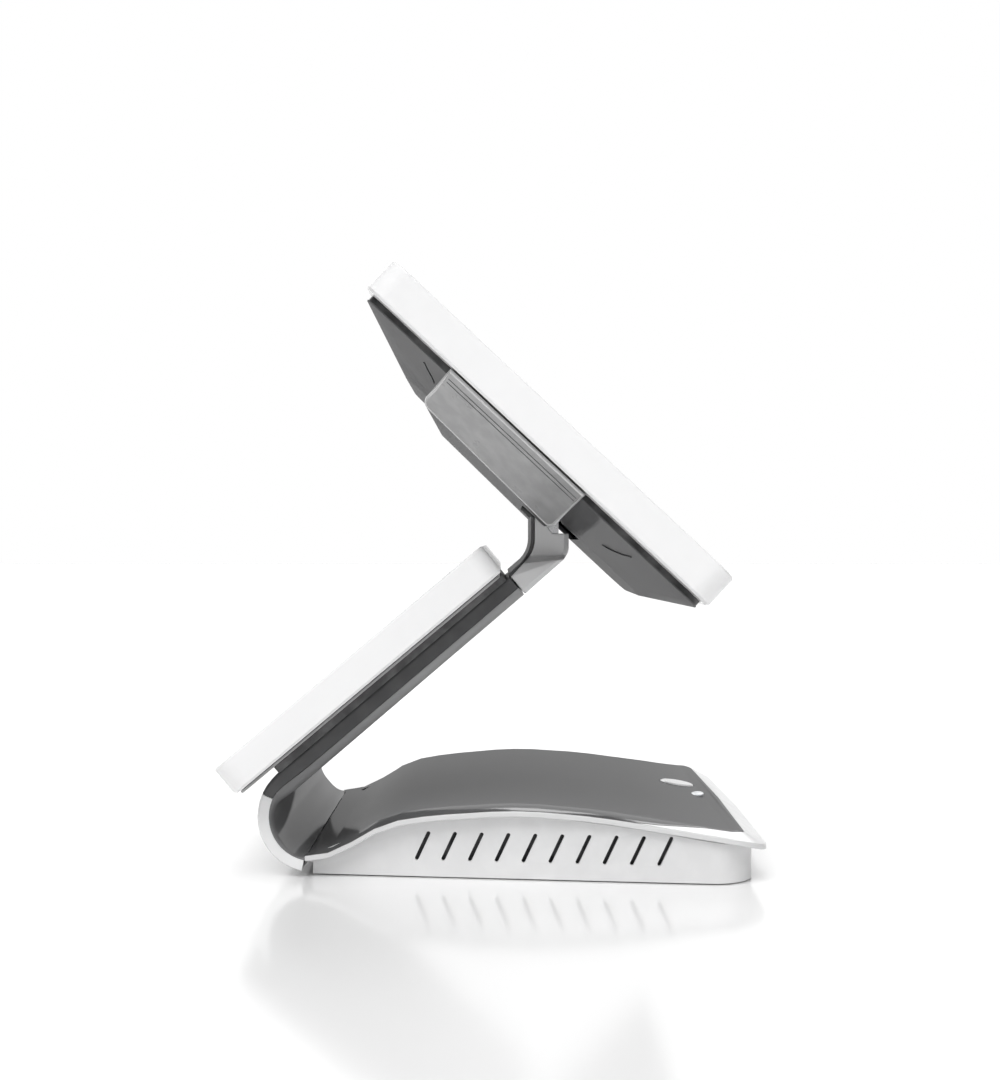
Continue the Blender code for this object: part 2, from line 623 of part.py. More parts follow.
def make_neck_cover():
    """The light cover round the neck: open at the arm, with a high rear part and a ledge in front."""
    rear, front = neck_curves()
    skin = GAP + 2.0
    sections = []
    for i, (back, face) in enumerate(zip(rear, front)):
        unit = (Vector(face) - Vector(back)).normalized()
        sections.append(neck_ring(neck_half(i), tuple(Vector(back) + unit * skin), face))
    sections.append(neck_ring(NECK_HALF, (NECK_REAR - skin, NECK_LEDGE), (NECK_FRONT, NECK_LEDGE)))
    cover = half_loft("neck_cover", sections, LIGHT_GREY)
    crest = extruded("join_neck_crest", [
        (NECK_REAR - skin, 186.0), (NECK_REAR - skin, NECK_TOP), (-26.5, NECK_TOP), (-34.0, NECK_LEDGE),
        (-34.0, 186.0)], NECK_HALF, cutter=True)
    combine(cover, crest, "UNION")
    inner = []
    for i, (back, face) in enumerate(zip(rear, front)):
        unit = (Vector(face) - Vector(back)).normalized()
        half = neck_half(i) - 3.4
        inner.append(flat_section(half, Vector(back) + unit * (skin + 1.6), Vector(face) - unit * 2.4))
    inner[0] = [(x, y + 3.0, z - 2.6) for x, y, z in inner[0]]
    inner.append([(0.0, NECK_REAR - skin - 1.6, 191.2), (NECK_HALF - 3.4, NECK_REAR - skin - 1.6, 191.2),
                  (NECK_HALF - 3.4, NECK_FRONT + 2.4, 191.2), (0.0, NECK_FRONT + 2.4, 191.2)])
    hollow = half_loft("cut_neck_hollow", inner, None, cutter=True)
    combine(cover, hollow)
    for name, side in SIDES:
        slot = box(f"cut_block_slot_{name}", (13.0, 9.6, 30.0), (side * 44.0, HINGE[0], 200.0), cutter=True)
        combine(cover, slot)
    return cover


def make_neck_rear_cover():
    """The dark strip that closes the neck's rear."""
    rear, front = neck_curves()
    sections = []
    for i, (back, face) in enumerate(zip(rear, front)):
        unit = (Vector(face) - Vector(back)).normalized()
        sections.append(flat_section(neck_half(i), back, tuple(Vector(back) + unit * 2.0)))
    sections.append(flat_section(NECK_HALF, (NECK_REAR, NECK_TOP), (NECK_REAR - 2.0, NECK_TOP)))
    return half_loft("neck_rear_cover", sections, DARK_GREY)


def make_hinge_block(name, side):
    """A steel block that stands on the spine and carries one hinge pin."""
    y, z = HINGE
    outline = [(y + 4.4, 190.6), (y + 4.4, z)] + arc((y, z), 5.4, 0.0, 180.0, 8)[1:-1]
    outline += [(y - 4.4, z), (y - 4.4, 180.0), (-31.3, 180.0), (-31.3, 190.6)]
    block = extruded(name, outline, 6.0, STEEL, at=(side * 44.0, 0.0, 0.0))
    bore = rod(f"cut_{name}_bore", PIN_RADIUS + 0.5, side * 30.0, side * 60.0, HINGE, cutter=True)
    combine(block, bore)
    return block


def make_tilt_bracket(frame):
    """The steel bracket behind the display, with two ears that hold the hinge pins."""
    plate = box("tilt_bracket", (136.0, 80.0, 1.5), (0.0, 32.0, 19.6 - 0.2), STEEL, frame, corner=5.0)
    for name, side in SIDES:
        outline = arc((0.0, 0.0), 4.6, 180.0, 360.0, 8) + [(9.0, 19.2), (-4.6, 19.2)]
        ear = extruded(f"join_ear_{name}", outline, 1.5, parent=frame, at=(side * EAR_X, 0.0, 0.0),
                       cutter=True)
        combine(plate, ear, "UNION")
        bore = rod(f"cut_ear_bore_{name}", PIN_RADIUS + GAP, side * 60.0, side * 66.0, (0.0, 0.0),
                   parent=frame, cutter=True)
        combine(plate, bore)
    return plate


def make_hinge_pieces(frame, name, side):
    """Pin, friction washer and lock nut of one side; they turn with the display."""
    rod(f"hinge_pin_{name}", PIN_RADIUS, side * 33.0, side * 68.0, (0.0, 0.0), STEEL, frame)
    washer = rod(f"friction_washer_{name}", 5.0, side * 50.4, side * 52.4, (0.0, 0.0), STEEL, frame)
    combine(washer, rod(f"cut_washer_{name}", PIN_RADIUS + GAP, side * 45.0, side * 56.0, (0.0, 0.0),
                        parent=frame, cutter=True))
    nut = rod(f"hinge_nut_{name}", 4.8, side * 34.0, side * 37.6, (0.0, 0.0), STEEL, frame, steps=6)
    combine(nut, rod(f"cut_nut_{name}", PIN_RADIUS + GAP, side * 30.0, side * 42.0, (0.0, 0.0),
                     parent=frame, cutter=True))


def grown_ring(plan, grow, height):
    """A rounded rectangle from its half width, low, high and corner radius, grown by a clearance."""
    half, low, high, radius = plan
    return rounded_ring(half + grow, low - grow, high + grow, radius, height)


def tub(name, half, low, high, radius, back, front, look, frame):
    """A display housing: a back, a band round the edge with a chamfered rear, and a ledge for the glass."""
    rings = [rounded_ring(half - 6.0, low + 6.0, high - 6.0, radius - 6.0, back + WALL),
             rounded_ring(half - 6.0, low + 6.0, high - 6.0, radius - 6.0, front - 2.6),
             rounded_ring(half - 2.4, low + 2.4, high - 2.4, radius - 2.4, front - 2.6),
             rounded_ring(half - 2.4, low + 2.4, high - 2.4, radius - 2.4, front),
             rounded_ring(half - 0.8, low + 0.8, high - 0.8, radius - 0.8, front),
             rounded_ring(half, low, high, radius, front - 0.8),
             rounded_ring(half, low, high, radius, back + TUB_CHAMFER),
             grown_ring((half, low, high, radius), -TUB_CHAMFER, back)]
    return loft(name, rings, look, frame)


def make_operator_display(frame):
    """The operator display's housing, glass and the parts inside it."""
    middle = 0.5 * (DISPLAY_TOP + DISPLAY_BOTTOM)
    length = DISPLAY_TOP - DISPLAY_BOTTOM
    housing = tub("main_housing", DISPLAY_HALF, DISPLAY_BOTTOM, DISPLAY_TOP, DISPLAY_CORNER, BAND_REAR,
                  BAND_FRONT, WHITE, frame)
    window = box("cut_main_back", (150.0, 92.0, 10.0), (0.0, 34.0, BAND_REAR), parent=frame, corner=6.0,
                 cutter=True)
    combine(housing, window)
    box("touch_glass", (2.0 * DISPLAY_HALF - 5.6, length - 5.6, 2.2), (0.0, middle, BAND_FRONT - 1.1), GLASS,
        frame, corner=11.0, steps=5)
    box("main_lcd", (359.0, 217.0, 5.6), (0.0, middle, 32.4), BLACK, frame)
    box("lcd_chassis", (350.0, 206.0, 1.5), (0.0, middle, 28.4), ALUMINIUM, frame)
    box("touch_controller_board", (60.0, 34.0, 1.6), (128.0, -30.0, 25.8), BOARD, frame)
    box("display_driver_board", (110.0, 44.0, 1.6), (-110.0, -38.0, 25.8), BOARD, frame)
    box("display_lead", (14.0, 62.0, 0.8), (0.0, 40.0, 22.6), BLACK, frame)


def rear_rings(grow):
    """Rings over the outside of the rear cover, foot to flat back, each grown by a clearance."""
    step = BAND_REAR - 3.0
    return [grown_ring(COVER_FOOT, grow, BAND_REAR - GAP + grow),
            grown_ring(COVER_FOOT, grow, step + grow),
            grown_ring(COVER_EDGE, grow, step + grow),
            grown_ring(COVER_EDGE, grow, step - 0.8 - grow),
            grown_ring(COVER_FLAT, grow, COVER_BACK - grow)]


def make_rear_cover(frame):
    """The dark rear cover with sloping sides, its foot set in to leave a shadow gap at the band."""
    inside = [grown_ring(COVER_FLAT, -WALL, COVER_BACK + WALL),
              grown_ring(COVER_FOOT, -WALL, BAND_REAR - 2.6),
              grown_ring(COVER_FOOT, -WALL, BAND_REAR - GAP)]
    cover = loft("main_rear_cover", inside + rear_rings(0.0), DARK_GREY, frame)
    combine(cover, rod("cut_cover_notch", COVER_NOTCH_RADIUS, -NOTCH_HALF, NOTCH_HALF, (0.0, 0.0),
                       parent=frame, steps=40, cutter=True))
    for name, side in SIDES:
        combine(cover, box(f"cut_cover_ear_{name}", (11.4, 16.0, 16.0), (side * EAR_X, 2.0, 6.0),
                           parent=frame, cutter=True))
    return cover


def belt_outline(skin=0.0):
    """Side outline of the belt, or of its inside, in the display's frame: along the screen and out of it."""
    radius = BELT_CORNER
    back_top, back_bottom = BELT_BACK
    outline = [(BELT_TOP - skin, BAND_REAR - 1.0)]
    outline += arc((BELT_TOP + BELT_LEAN - radius, back_top + radius), radius - skin, 0.0, -90.0, 5)
    outline += arc((BELT_BOTTOM + radius, back_bottom + radius), radius - skin, -90.0, -180.0, 5)
    outline += [(BELT_BOTTOM + skin, BAND_REAR - 1.0)]
    return outline


def belt_back(along):
    """Depth of the belt's rear face at a place along the screen."""
    back_top, back_bottom = BELT_BACK
    share = (along - BELT_BOTTOM) / (BELT_TOP + BELT_LEAN - BELT_BOTTOM)
    return back_bottom + (back_top - back_bottom) * share


def make_belt(frame, cover):
    """The light housing across the display's back that covers the hinge; its ends slope inward."""
    belt = extruded("hinge_housing", belt_outline(), BELT_HALF_FRONT, LIGHT_GREY, frame)
    front = BAND_REAR - 1.0
    for vertex in belt.data.vertices:
        share = (front - vertex.co.z / MM) / (front - min(BELT_BACK))
        half = BELT_HALF_FRONT + (BELT_HALF_BACK - BELT_HALF_FRONT) * share
        vertex.co.x = math.copysign(half * MM, vertex.co.x)
    combine(belt, loft("cut_belt_seat", rear_rings(GAP), parent=frame, cutter=True))
    combine(belt, extruded("cut_belt_cavity", belt_outline(WALL), BELT_HALF_BACK - 6.0, parent=frame,
                           cutter=True))
    combine(belt, rod("cut_belt_notch", NOTCH_RADIUS, -NOTCH_HALF, NOTCH_HALF, (0.0, 0.0), parent=frame,
                      steps=40, cutter=True))
    for name, side in SIDES:
        combine(belt, box(f"cut_belt_ear_{name}", (13.0, 12.0, 26.0), (side * (EAR_X + 0.5), 0.6, 7.8),
                          parent=frame, cutter=True))
        for row, along in BELT_SCREW_ROWS:
            at = (side * BELT_SCREW_X, along, belt_back(along))
            add_belt_screw(belt, cover, frame, f"{row}_{name}", at)
    return belt


def add_belt_screw(belt, cover, frame, name, at):
    """A countersunk screw that holds the belt to the rear cover, and its holes in both."""
    turned(f"belt_screw_{name}", [(0.0, -0.2), (2.6, -0.2), (2.6, -1.0), (1.2, -1.0), (1.2, -13.8),
                                  (0.0, -13.8)], at, STEEL, frame, tilt=180.0, steps=12)
    combine(belt, disc(f"cut_sink_{name}", 3.0, -1.0, 1.4, at, parent=frame, steps=16, cutter=True))
    hole = disc(f"cut_hole_{name}", 1.6, -1.0, 16.0, at, parent=frame, steps=12, cutter=True)
    combine(belt, hole)
    combine(cover, hole)


def make_customer_display(frame):
    """The customer display: band housing, rear panel, glass, LCD, board and the bracket to the arm."""
    width, length = CUSTOMER_SIZE
    housing = tub("customer_housing", 0.5 * width, -0.5 * length, 0.5 * length, 13.0, 1.8, CUSTOMER_DEPTH,
                  WHITE, frame)
    window = box("cut_customer_back", (60.0, 40.0, 8.0), (0.0, 0.0, 2.0), parent=frame, corner=5.0,
                 cutter=True)
    combine(housing, window)
    box("customer_rear_panel", (width - 6.4, length - 6.4, 1.5), (0.0, 0.0, 0.75), LIGHT_GREY, frame,
        corner=10.0, steps=5)
    box("customer_glass", (width - 5.6, length - 5.6, 2.2), (0.0, 0.0, CUSTOMER_DEPTH - 1.1), GLASS, frame,
        corner=10.0, steps=5)
    box("customer_lcd", (270.0, 168.0, 5.0), (0.0, 0.0, 13.4), BLACK, frame)
    box("customer_driver_board", (90.0, 40.0, 1.6), (70.0, 30.0, 7.0), BOARD, frame)
    box("customer_bracket", (100.0, 100.0, CUSTOMER_BACK - BEND_OUTER - 2.0 * GAP),
        (0.0, 0.0, 0.5 * (BEND_OUTER - CUSTOMER_BACK)), STEEL, frame, corner=4.0)


def make_base_inside():
    """Main board and what stands on it, the drive, the speaker, the feet and the service door."""
    box("mainboard", (168.0, 148.0, BOARD_TOP - BOARD_BOTTOM),
        (-34.0, -56.0, 0.5 * (BOARD_TOP + BOARD_BOTTOM)), BOARD)
    comb = [(-28.0, 0.0), (28.0, 0.0)]
    for i in range(8):
        right = 28.0 - 7.6 * i
        comb += [(right, 14.0), (right - 1.6, 14.0), (right - 1.6, 3.0), (right - 7.6, 3.0)]
    comb = comb[:-1]
    comb[-1] = (-28.0, 3.0)
    heat_sink = extruded("cpu_heat_sink", comb, 28.0, ALUMINIUM, at=(-50.0, -60.0, BOARD_TOP + GAP))
    heat_sink.rotation_euler = (0.0, 0.0, math.radians(90.0))
    box("memory_module", (67.0, 30.0, 4.0), (14.0, -78.0, BOARD_TOP + GAP + 2.0), BOARD)
    box("storage_drive", (66.0, 96.0, 7.0), (88.0, -52.0, 12.5), ALUMINIUM, corner=2.0)
    box("speaker", (34.0, 22.0, 12.0), (90.0, -120.0, 10.0), BLACK, corner=4.0)
    for label, (x, y) in zip(("rear", "front"), FOOT_PLACES):
        disc(f"foot_{label}_left", FOOT_RADIUS, 0.0, FOOT_HEIGHT, (-x, y, 0.0), RUBBER)
        disc(f"foot_{label}_right", FOOT_RADIUS, 0.0, FOOT_HEIGHT, (x, y, 0.0), RUBBER)
    box("service_door", (DOOR[0] - 0.8, DOOR[1] - 0.8, TRAY_FLOOR - TRAY_BOTTOM), (0.0, DOOR_MIDDLE,
        0.5 * (TRAY_FLOOR + TRAY_BOTTOM)), WHITE, corner=3.6)


def make_ports():
    """The sockets that face the service bay, and the steel bracket in front of them."""
    low = BOARD_TOP + GAP
    bracket = box("port_bracket", (160.0, 1.2, 20.0), (-8.0, BAY_FACE + GAP + 0.6, 18.8), STEEL)
    for name, x, width, height, holes in PORTS:
        at = (x, BAY_FACE - 0.5 * PORT_DEPTH, low + 0.5 * height)
        port = box(name, (width, PORT_DEPTH, height), at, BLACK)
        for i, (hole_width, hole_height, middle) in enumerate(holes):
            hole = box(f"cut_{name}_{i}", (hole_width, 24.0, hole_height), (x, BAY_FACE, low + middle),
                       corner=0.6, steps=1, along=1, cutter=True)
            combine(port, hole)
            combine(bracket, hole)


def make_controls(cover):
    """The power button with its switch, and the status light, in the front of the base cover."""
    slope = (cover_height(BUTTON[1] + 5.0) - cover_height(BUTTON[1] - 5.0)) / 10.0
    tilt = math.degrees(math.atan(slope))
    at = (BUTTON[0], BUTTON[1], cover_height(BUTTON[1]) + 0.5)
    turned("power_button", [(0.0, 0.9), (9.8, 0.9), (BUTTON_RADIUS, 0.2), (BUTTON_RADIUS, -2.9), (12.8, -2.9),
                            (12.8, -4.1), (2.5, -4.1), (2.5, -7.6), (0.0, -7.6)], at, ALUMINIUM, tilt=tilt,
           steps=32)
    combine(cover, disc("cut_button", BUTTON_RADIUS + 0.4, -8.0, 8.0, at, tilt=tilt, steps=32, cutter=True))
    box("power_switch", (8.0, 8.0, 7.0), (BUTTON[0], BUTTON[1] + 1.5, BOARD_TOP + GAP + 3.5), BLACK)
    light_top = cover_height(LIGHT[1]) + 0.9
    low = BOARD_TOP + GAP
    box("status_light", (12.0, 3.2, light_top - low), (*LIGHT, 0.5 * (light_top + low)), LENS, corner=1.5)
    combine(cover, box("cut_light", (12.8, 4.0, 20.0), (*LIGHT, light_top), corner=1.9, cutter=True))


def main():
    """Builds the whole terminal."""
    make_base_rim()
    make_controls(make_base_cover())
    make_tray()
    make_bend_shell()
    make_arm_outer_cover()
    make_arm_inner_cover()
    make_spine()
    make_cable()
    make_neck_cover()
    make_neck_rear_cover()
    tilt_frame = empty("display_tilt_axis", (0.0, *HINGE), DISPLAY_TILT)
    for name, side in SIDES:
        make_hinge_block(f"hinge_block_{name}", side)
        make_hinge_pieces(tilt_frame, name, side)
    make_tilt_bracket(tilt_frame)
    make_operator_display(tilt_frame)
    make_belt(tilt_frame, make_rear_cover(tilt_frame))
    customer_frame = empty("customer_display_frame",
                           (0.0, *strap(ARM_NORMAL, CUSTOMER_BACK, CUSTOMER_MIDDLE)), ARM_NORMAL - 90.0)
    make_customer_display(customer_frame)
    make_base_inside()
    make_ports()


main()
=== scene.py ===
"""Looks of the dual-screen point of sale terminal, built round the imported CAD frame.

The scene is in metres and +Z is up, with the operator on the -Y side and the customer on the +Y side.
Dimensions below are in millimetres and degrees, except in the camera's and the studio's lines.
"""
import json
import math

import bmesh
import bpy
from mathutils import Matrix, Vector


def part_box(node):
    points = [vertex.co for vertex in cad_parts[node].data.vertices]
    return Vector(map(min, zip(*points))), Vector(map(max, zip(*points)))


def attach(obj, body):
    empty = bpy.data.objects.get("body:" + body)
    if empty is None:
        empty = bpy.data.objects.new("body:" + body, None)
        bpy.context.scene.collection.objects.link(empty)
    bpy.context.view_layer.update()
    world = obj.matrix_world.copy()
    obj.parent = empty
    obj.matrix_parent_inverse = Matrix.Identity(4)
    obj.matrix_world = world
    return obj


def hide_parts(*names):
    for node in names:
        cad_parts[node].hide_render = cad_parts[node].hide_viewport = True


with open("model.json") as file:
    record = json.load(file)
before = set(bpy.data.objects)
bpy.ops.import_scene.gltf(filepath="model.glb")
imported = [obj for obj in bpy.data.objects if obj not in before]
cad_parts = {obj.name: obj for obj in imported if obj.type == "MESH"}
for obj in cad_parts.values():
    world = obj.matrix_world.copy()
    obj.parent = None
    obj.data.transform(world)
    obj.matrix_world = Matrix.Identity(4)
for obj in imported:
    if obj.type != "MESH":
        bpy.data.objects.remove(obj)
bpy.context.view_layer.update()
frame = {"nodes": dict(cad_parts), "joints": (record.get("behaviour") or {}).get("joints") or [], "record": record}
MM = 0.001

# Camera: level, from the terminal's -X side, in metres
CAMERA_PLACE = (-1.05, -0.0025, 0.1898)
CAMERA_LENS = 55.0
CAMERA_SENSOR = 36.0
CAMERA_CLIP = (0.05, 60.0)

# Studio, in metres: the surround's brightness at two heights and at its ends, a sun, a soft box and a floor
SKY_LOW = (0.2, 1.0)
SKY_HIGH = (0.6, 0.35)
SKY_ENDS = (0.4, 0.95)
SKY_END_SHARE = 0.15
SKY_STRENGTH = 1.12
KEY_SPREAD = 50.0
KEY_ENERGY = 2.35
KEY_DIRECTION = (0.5, -0.15, -1.0)
SOFTBOX_SIZE = (2.2, 0.7)
SOFTBOX_ENERGY = 16.0
SOFTBOX_PLACE = (1.75, 0.0, 1.15)
SOFTBOX_AIM = (0.0, 0.0, 0.1)
FLOOR_REACH = 12.0
FLOOR_TONE = 0.96
FLOOR_ROUGHNESS = (0.12, 0.14)

# Operator display, in its own frame: X across, Y up the screen, Z out of the screen, origin on the hinge
TILT_JOINT = next(joint for joint in frame["joints"] if joint["name"] == "display_tilt")
DISPLAY_TILT = 43.1
DISPLAY_FRAME = (Matrix.Translation(TILT_JOINT["pos_m"])
                 @ Matrix.Rotation(math.radians(DISPLAY_TILT), 4, "X"))
MAIN_GLASS = (185.2, -88.2, 154.2)        # half width, low and high edge of the cover glass
MAIN_SCREEN = (172.0, -63.7, 129.8)       # the same of the picture area
GLASS_TOP = 38.5
# Black strip in the gap behind the band, painted shade: its outline and its two heights
GAP_SHADE_OUTLINE = (169.6, -87.7, 153.7, 9.0)
GAP_SHADE_HEIGHTS = (14.8, 17.95)

# Customer display, in its own frame: X across, Y down the screen, Z out of the screen
ARM_NORMAL = 50.0
CUSTOMER_TILT = ARM_NORMAL - 90.0
CUSTOMER_BACK = 35.9
CUSTOMER_MIDDLE = 74.2
CUSTOMER_DEPTH = 20.0
CUSTOMER_GLASS = (147.2, -93.45, 93.45)
CUSTOMER_SCREEN = (128.0, -72.0, 72.0)
# Spacer between the customer display and the arm: a real mount, and its arm-wide dark fill of the gap is partly
# painted shade
SPACER_RUN = (1.0, 168.0)
SPACER_STEPS = 6
SPACER_DEPTH = (31.0, 35.75)
SPACER_EDGE = 0.6

# Both cover glasses
GLASS_THICKNESS = 2.2
GLASS_CORNER = 11.0
GLASS_EDGE = 0.5
PICTURE_CORNER = 1.0

# Strap round the bend and up the arm: its axis (Y, Z), half widths, and distances from that axis
BEND = (102.5, 34.3)
STRAP_HALF = 124.0
ARM_TOP_HALF = 78.0
ARM_RUN = 170.5
ARM_INNER = 17.7
ARM_SEAM = 22.8
SHELL_END = 24.0
LINING_OUTER = 24.5
LINING_INNER = 22.4
LINING_LAP = 0.2

# The lining's start under the base cover, and how it eases from the bend into the arm
LINING_START = -79.0
LINING_BLEND = 40.0
LINING_STEP = 0.5
LINING_SLOPE = 0.146
LINING_CROWN = 0.6
BEND_EASE = 20.0
ARM_EASE = 20.0
BEND_STEPS = 42
ARM_STEPS = 14

# The lining's rolled edges, which grow between two angles
ARM_ROLL = 5.0
LEAST_ROLL = 1.2
ROLL_GROWS = (-60.0, 10.0)
ROLL_STEPS = 8

# Belt across the display's back, with a bead, a panel and two dark lines on each sloping end
BELT_TOP = 94.0
BELT_BOTTOM = -3.0
BELT_LEAN = 4.0
BELT_FRONT = 17.0
BELT_BACK = (-4.8, -6.9)
BELT_HALF_FRONT = 184.0
BELT_HALF_BACK = 115.0
BELT_CORNER = 4.0
BEAD_INSET = 0.9
BEAD_RADIUS = 1.0
BEAD_SIDES = 10
PANEL_LIFTS = (-0.2, 0.6)
PANEL_BORDER = 1.2
BELT_LINES = (13.4, 11.8)
LINE_GAP = 2.0
LINE_STEPS = 12
LINE_LIFT = 0.6
LINE_SHIFT = 0.3
LINE_RADIUS = 0.28
LATCH_RADIUS = 0.5
THREAD_SIDES = 8
THREAD_SIDEWAYS = (0.3, 0.5, 0.8)

# Rear cover's sloping sides: half width and depth where they start and where they end
COVER_EDGE_HALF = 171.5
COVER_EDGE_OUT = 14.2
COVER_FLAT_HALF = 72.0
COVER_FLAT_OUT = 1.7
# Latch lines on the rear cover's sides, drawn as black threads: their black is painted shade of engraved grooves
COVER_LATCHES = (((110.0, 150.0), (107.0, 141.0), (103.5, 133.0), (101.0, 124.0)),
                 ((-31.0, 112.0), (-36.5, 121.0), (-41.5, 134.0), (-45.0, 148.0)))

# Base: the black sheet behind the vent slots that paints the shade inside them (Y and half width along it), and
# the lens over the status light
VENT_SHADE_LINE = ((52.0, 115.5), (-118.0, 134.5))
VENT_SHADE_HEIGHTS = (5.0, 27.0)
VENT_SHADE_THICKNESS = 0.8
LENS_HALF = (7.5, 4.0)
LENS_PROFILE = ((0.9, -1.2), (1.0, 0.0), (0.97, 0.35), (0.88, 0.6), (0.6, 0.85), (0.3, 0.95))
LENS_SLOPE = 0.09
LENS_SIDES = 40

# CAD shapes that get rounded edges: the radius of each
ROUNDED = {
    "main_housing": 0.7, "main_rear_cover": 0.8, "hinge_housing": 0.9,
    "neck_cover": 0.7, "neck_rear_cover": 0.5,
    "customer_housing": 0.7, "customer_rear_panel": 0.4, "arm_outer_cover": 0.5,
    "bend_shell": 0.5, "base_rim": 0.8, "base_top_cover": 0.4, "base_tray": 0.35,
    "service_door": 0.4, "power_button": 0.3,
    "foot_rear_left": 0.4, "foot_rear_right": 0.4, "foot_front_left": 0.4, "foot_front_right": 0.4,
}
WELD = 0.002
FLAT_ANGLE = 1.5
SHARP_ANGLE = 24.0
SHORT_EDGE = 0.05
BEVEL_STEPS = 3
SHELL_SMOOTH_ANGLE = 40.0
SEAM_Y = 107.0                            # the base and the strap part beyond this and below SEAM_TOP
SEAM_TOP = 20.0
SEAM_REACH = {"base_top_cover": 1.0}

# Faces in another finish, by the direction they look in
DARK_BACKED = ("hinge_housing",)
BACK_FACING = 0.9
BACK_SIDEWAYS = 0.1
SHOULDER_FACING = 0.8
SHOULDER_SIDEWAYS = 0.09

# Moulded plastic: how much darker its colour drifts, and how pale and strong its rubbed edges are
COLOUR_DRIFT = 0.03
RUBBED_TONE = 0.9
RUBBED_SHARE = 0.12


# Materials

def new_look(name):
    """An empty Principled material: its tree, its links and its shader."""
    look = bpy.data.materials.new(name)
    look.use_nodes = True
    tree = look.node_tree
    return look, tree, tree.nodes["Principled BSDF"]


def coordinates(tree):
    """Coordinates fixed to the piece, in metres."""
    return tree.nodes.new("ShaderNodeTexCoord").outputs["Object"]


def noise(tree, scale, detail=3.0, stretch=None):
    """A noise value over the piece; stretch scales the three axes."""
    made = tree.nodes.new("ShaderNodeTexNoise")
    made.inputs["Scale"].default_value = scale
    made.inputs["Detail"].default_value = detail
    source = coordinates(tree)
    if stretch:
        mapping = tree.nodes.new("ShaderNodeMapping")
        mapping.inputs["Scale"].default_value = stretch
        tree.links.new(source, mapping.inputs["Vector"])
        source = mapping.outputs["Vector"]
    tree.links.new(source, made.inputs["Vector"])
    return made.outputs["Fac"]


def spread(tree, value, low, high, start=0.3, end=0.7):
    """Maps a value from start-end to low-high."""
    made = tree.nodes.new("ShaderNodeMapRange")
    for socket, number in (("From Min", start), ("From Max", end), ("To Min", low), ("To Max", high)):
        made.inputs[socket].default_value = number
    tree.links.new(value, made.inputs["Value"])
    return made.outputs["Result"]


def blend_colours(tree, value, first, second):
    """A colour between two, by a value."""
    made = tree.nodes.new("ShaderNodeMix")
    made.data_type = "RGBA"
    made.inputs["A"].default_value = (*first, 1.0)
    made.inputs["B"].default_value = (*second, 1.0)
    tree.links.new(value, made.inputs["Factor"])
    return made.outputs["Result"]


def add_bump(tree, shader, value, depth):
    """Relief of a depth in metres."""
    made = tree.nodes.new("ShaderNodeBump")
    made.inputs["Distance"].default_value = depth
    made.inputs["Strength"].default_value = 1.0
    tree.links.new(value, made.inputs["Height"])
    tree.links.new(made.outputs["Normal"], shader.inputs["Normal"])


def worn_edges(tree):
    """1 on outer edges and 0 elsewhere, broken up by noise."""
    geometry = tree.nodes.new("ShaderNodeNewGeometry")
    edge = spread(tree, geometry.outputs["Pointiness"], 0.0, 1.0, start=0.53, end=0.6)
    both = tree.nodes.new("ShaderNodeMath")
    both.operation = "MULTIPLY"
    tree.links.new(edge, both.inputs[0])
    tree.links.new(spread(tree, noise(tree, 90.0, 4.0), 0.0, 1.0, start=0.4, end=0.7), both.inputs[1])
    return both.outputs[0]


def laid_over(tree, body, colour, share):
    """A colour laid over another, by a value."""
    made = tree.nodes.new("ShaderNodeMix")
    made.data_type = "RGBA"
    made.inputs["B"].default_value = (*colour, 1.0)
    tree.links.new(share, made.inputs["Factor"])
    tree.links.new(body, made.inputs["A"])
    return made.outputs["Result"]


def climbing(tree, body, colour, low, high):
    """A colour that turns into another between two heights in metres."""
    split = tree.nodes.new("ShaderNodeSeparateXYZ")
    tree.links.new(coordinates(tree), split.inputs[0])
    return laid_over(tree, body, colour, spread(tree, split.outputs["Z"], 0.0, 1.0, start=low, end=high))


def moulded(name, colour, roughness, relief, grain=260.0, gloss=0.5, coat=0.0, highlight_climb=None):
    """A moulded plastic: slow colour drift, faint orange peel, uneven gloss and rubbed edges, and where asked a
    painted highlight that pales the colour between two heights.
    """
    look, tree, shader = new_look(name)
    darker = [c * (1.0 - COLOUR_DRIFT) for c in colour]
    rubbed = [c + (RUBBED_TONE - c) * RUBBED_SHARE for c in colour]
    body = blend_colours(tree, spread(tree, noise(tree, 9.0), 0.0, 1.0), darker, colour)
    # Where given, a painted highlight: the colour pales into another between two heights
    if highlight_climb:
        body = climbing(tree, body, *highlight_climb)
    tree.links.new(laid_over(tree, body, rubbed, worn_edges(tree)), shader.inputs["Base Color"])
    tree.links.new(spread(tree, noise(tree, 40.0, 5.0), roughness * 0.85, roughness * 1.2),
                   shader.inputs["Roughness"])
    add_bump(tree, shader, noise(tree, grain, 2.0), relief)
    shader.inputs["Specular IOR Level"].default_value = gloss
    shader.inputs["Coat Weight"].default_value = coat
    tree.links.new(spread(tree, noise(tree, 30.0, 4.0), roughness * 0.6, roughness * 0.75),
                   shader.inputs["Coat Roughness"])
    return look


def brushed(name, colour, roughness, stretch):
    """Sheet or turned metal with fine brush lines along one direction."""
    look, tree, shader = new_look(name)
    lines = noise(tree, 900.0, 4.0, stretch)
    shader.inputs["Metallic"].default_value = 1.0
    dull = [c * 0.82 for c in colour]
    tree.links.new(blend_colours(tree, lines, dull, colour), shader.inputs["Base Color"])
    tree.links.new(spread(tree, lines, roughness * 0.75, roughness * 1.3), shader.inputs["Roughness"])
    add_bump(tree, shader, lines, 0.000006)
    return look


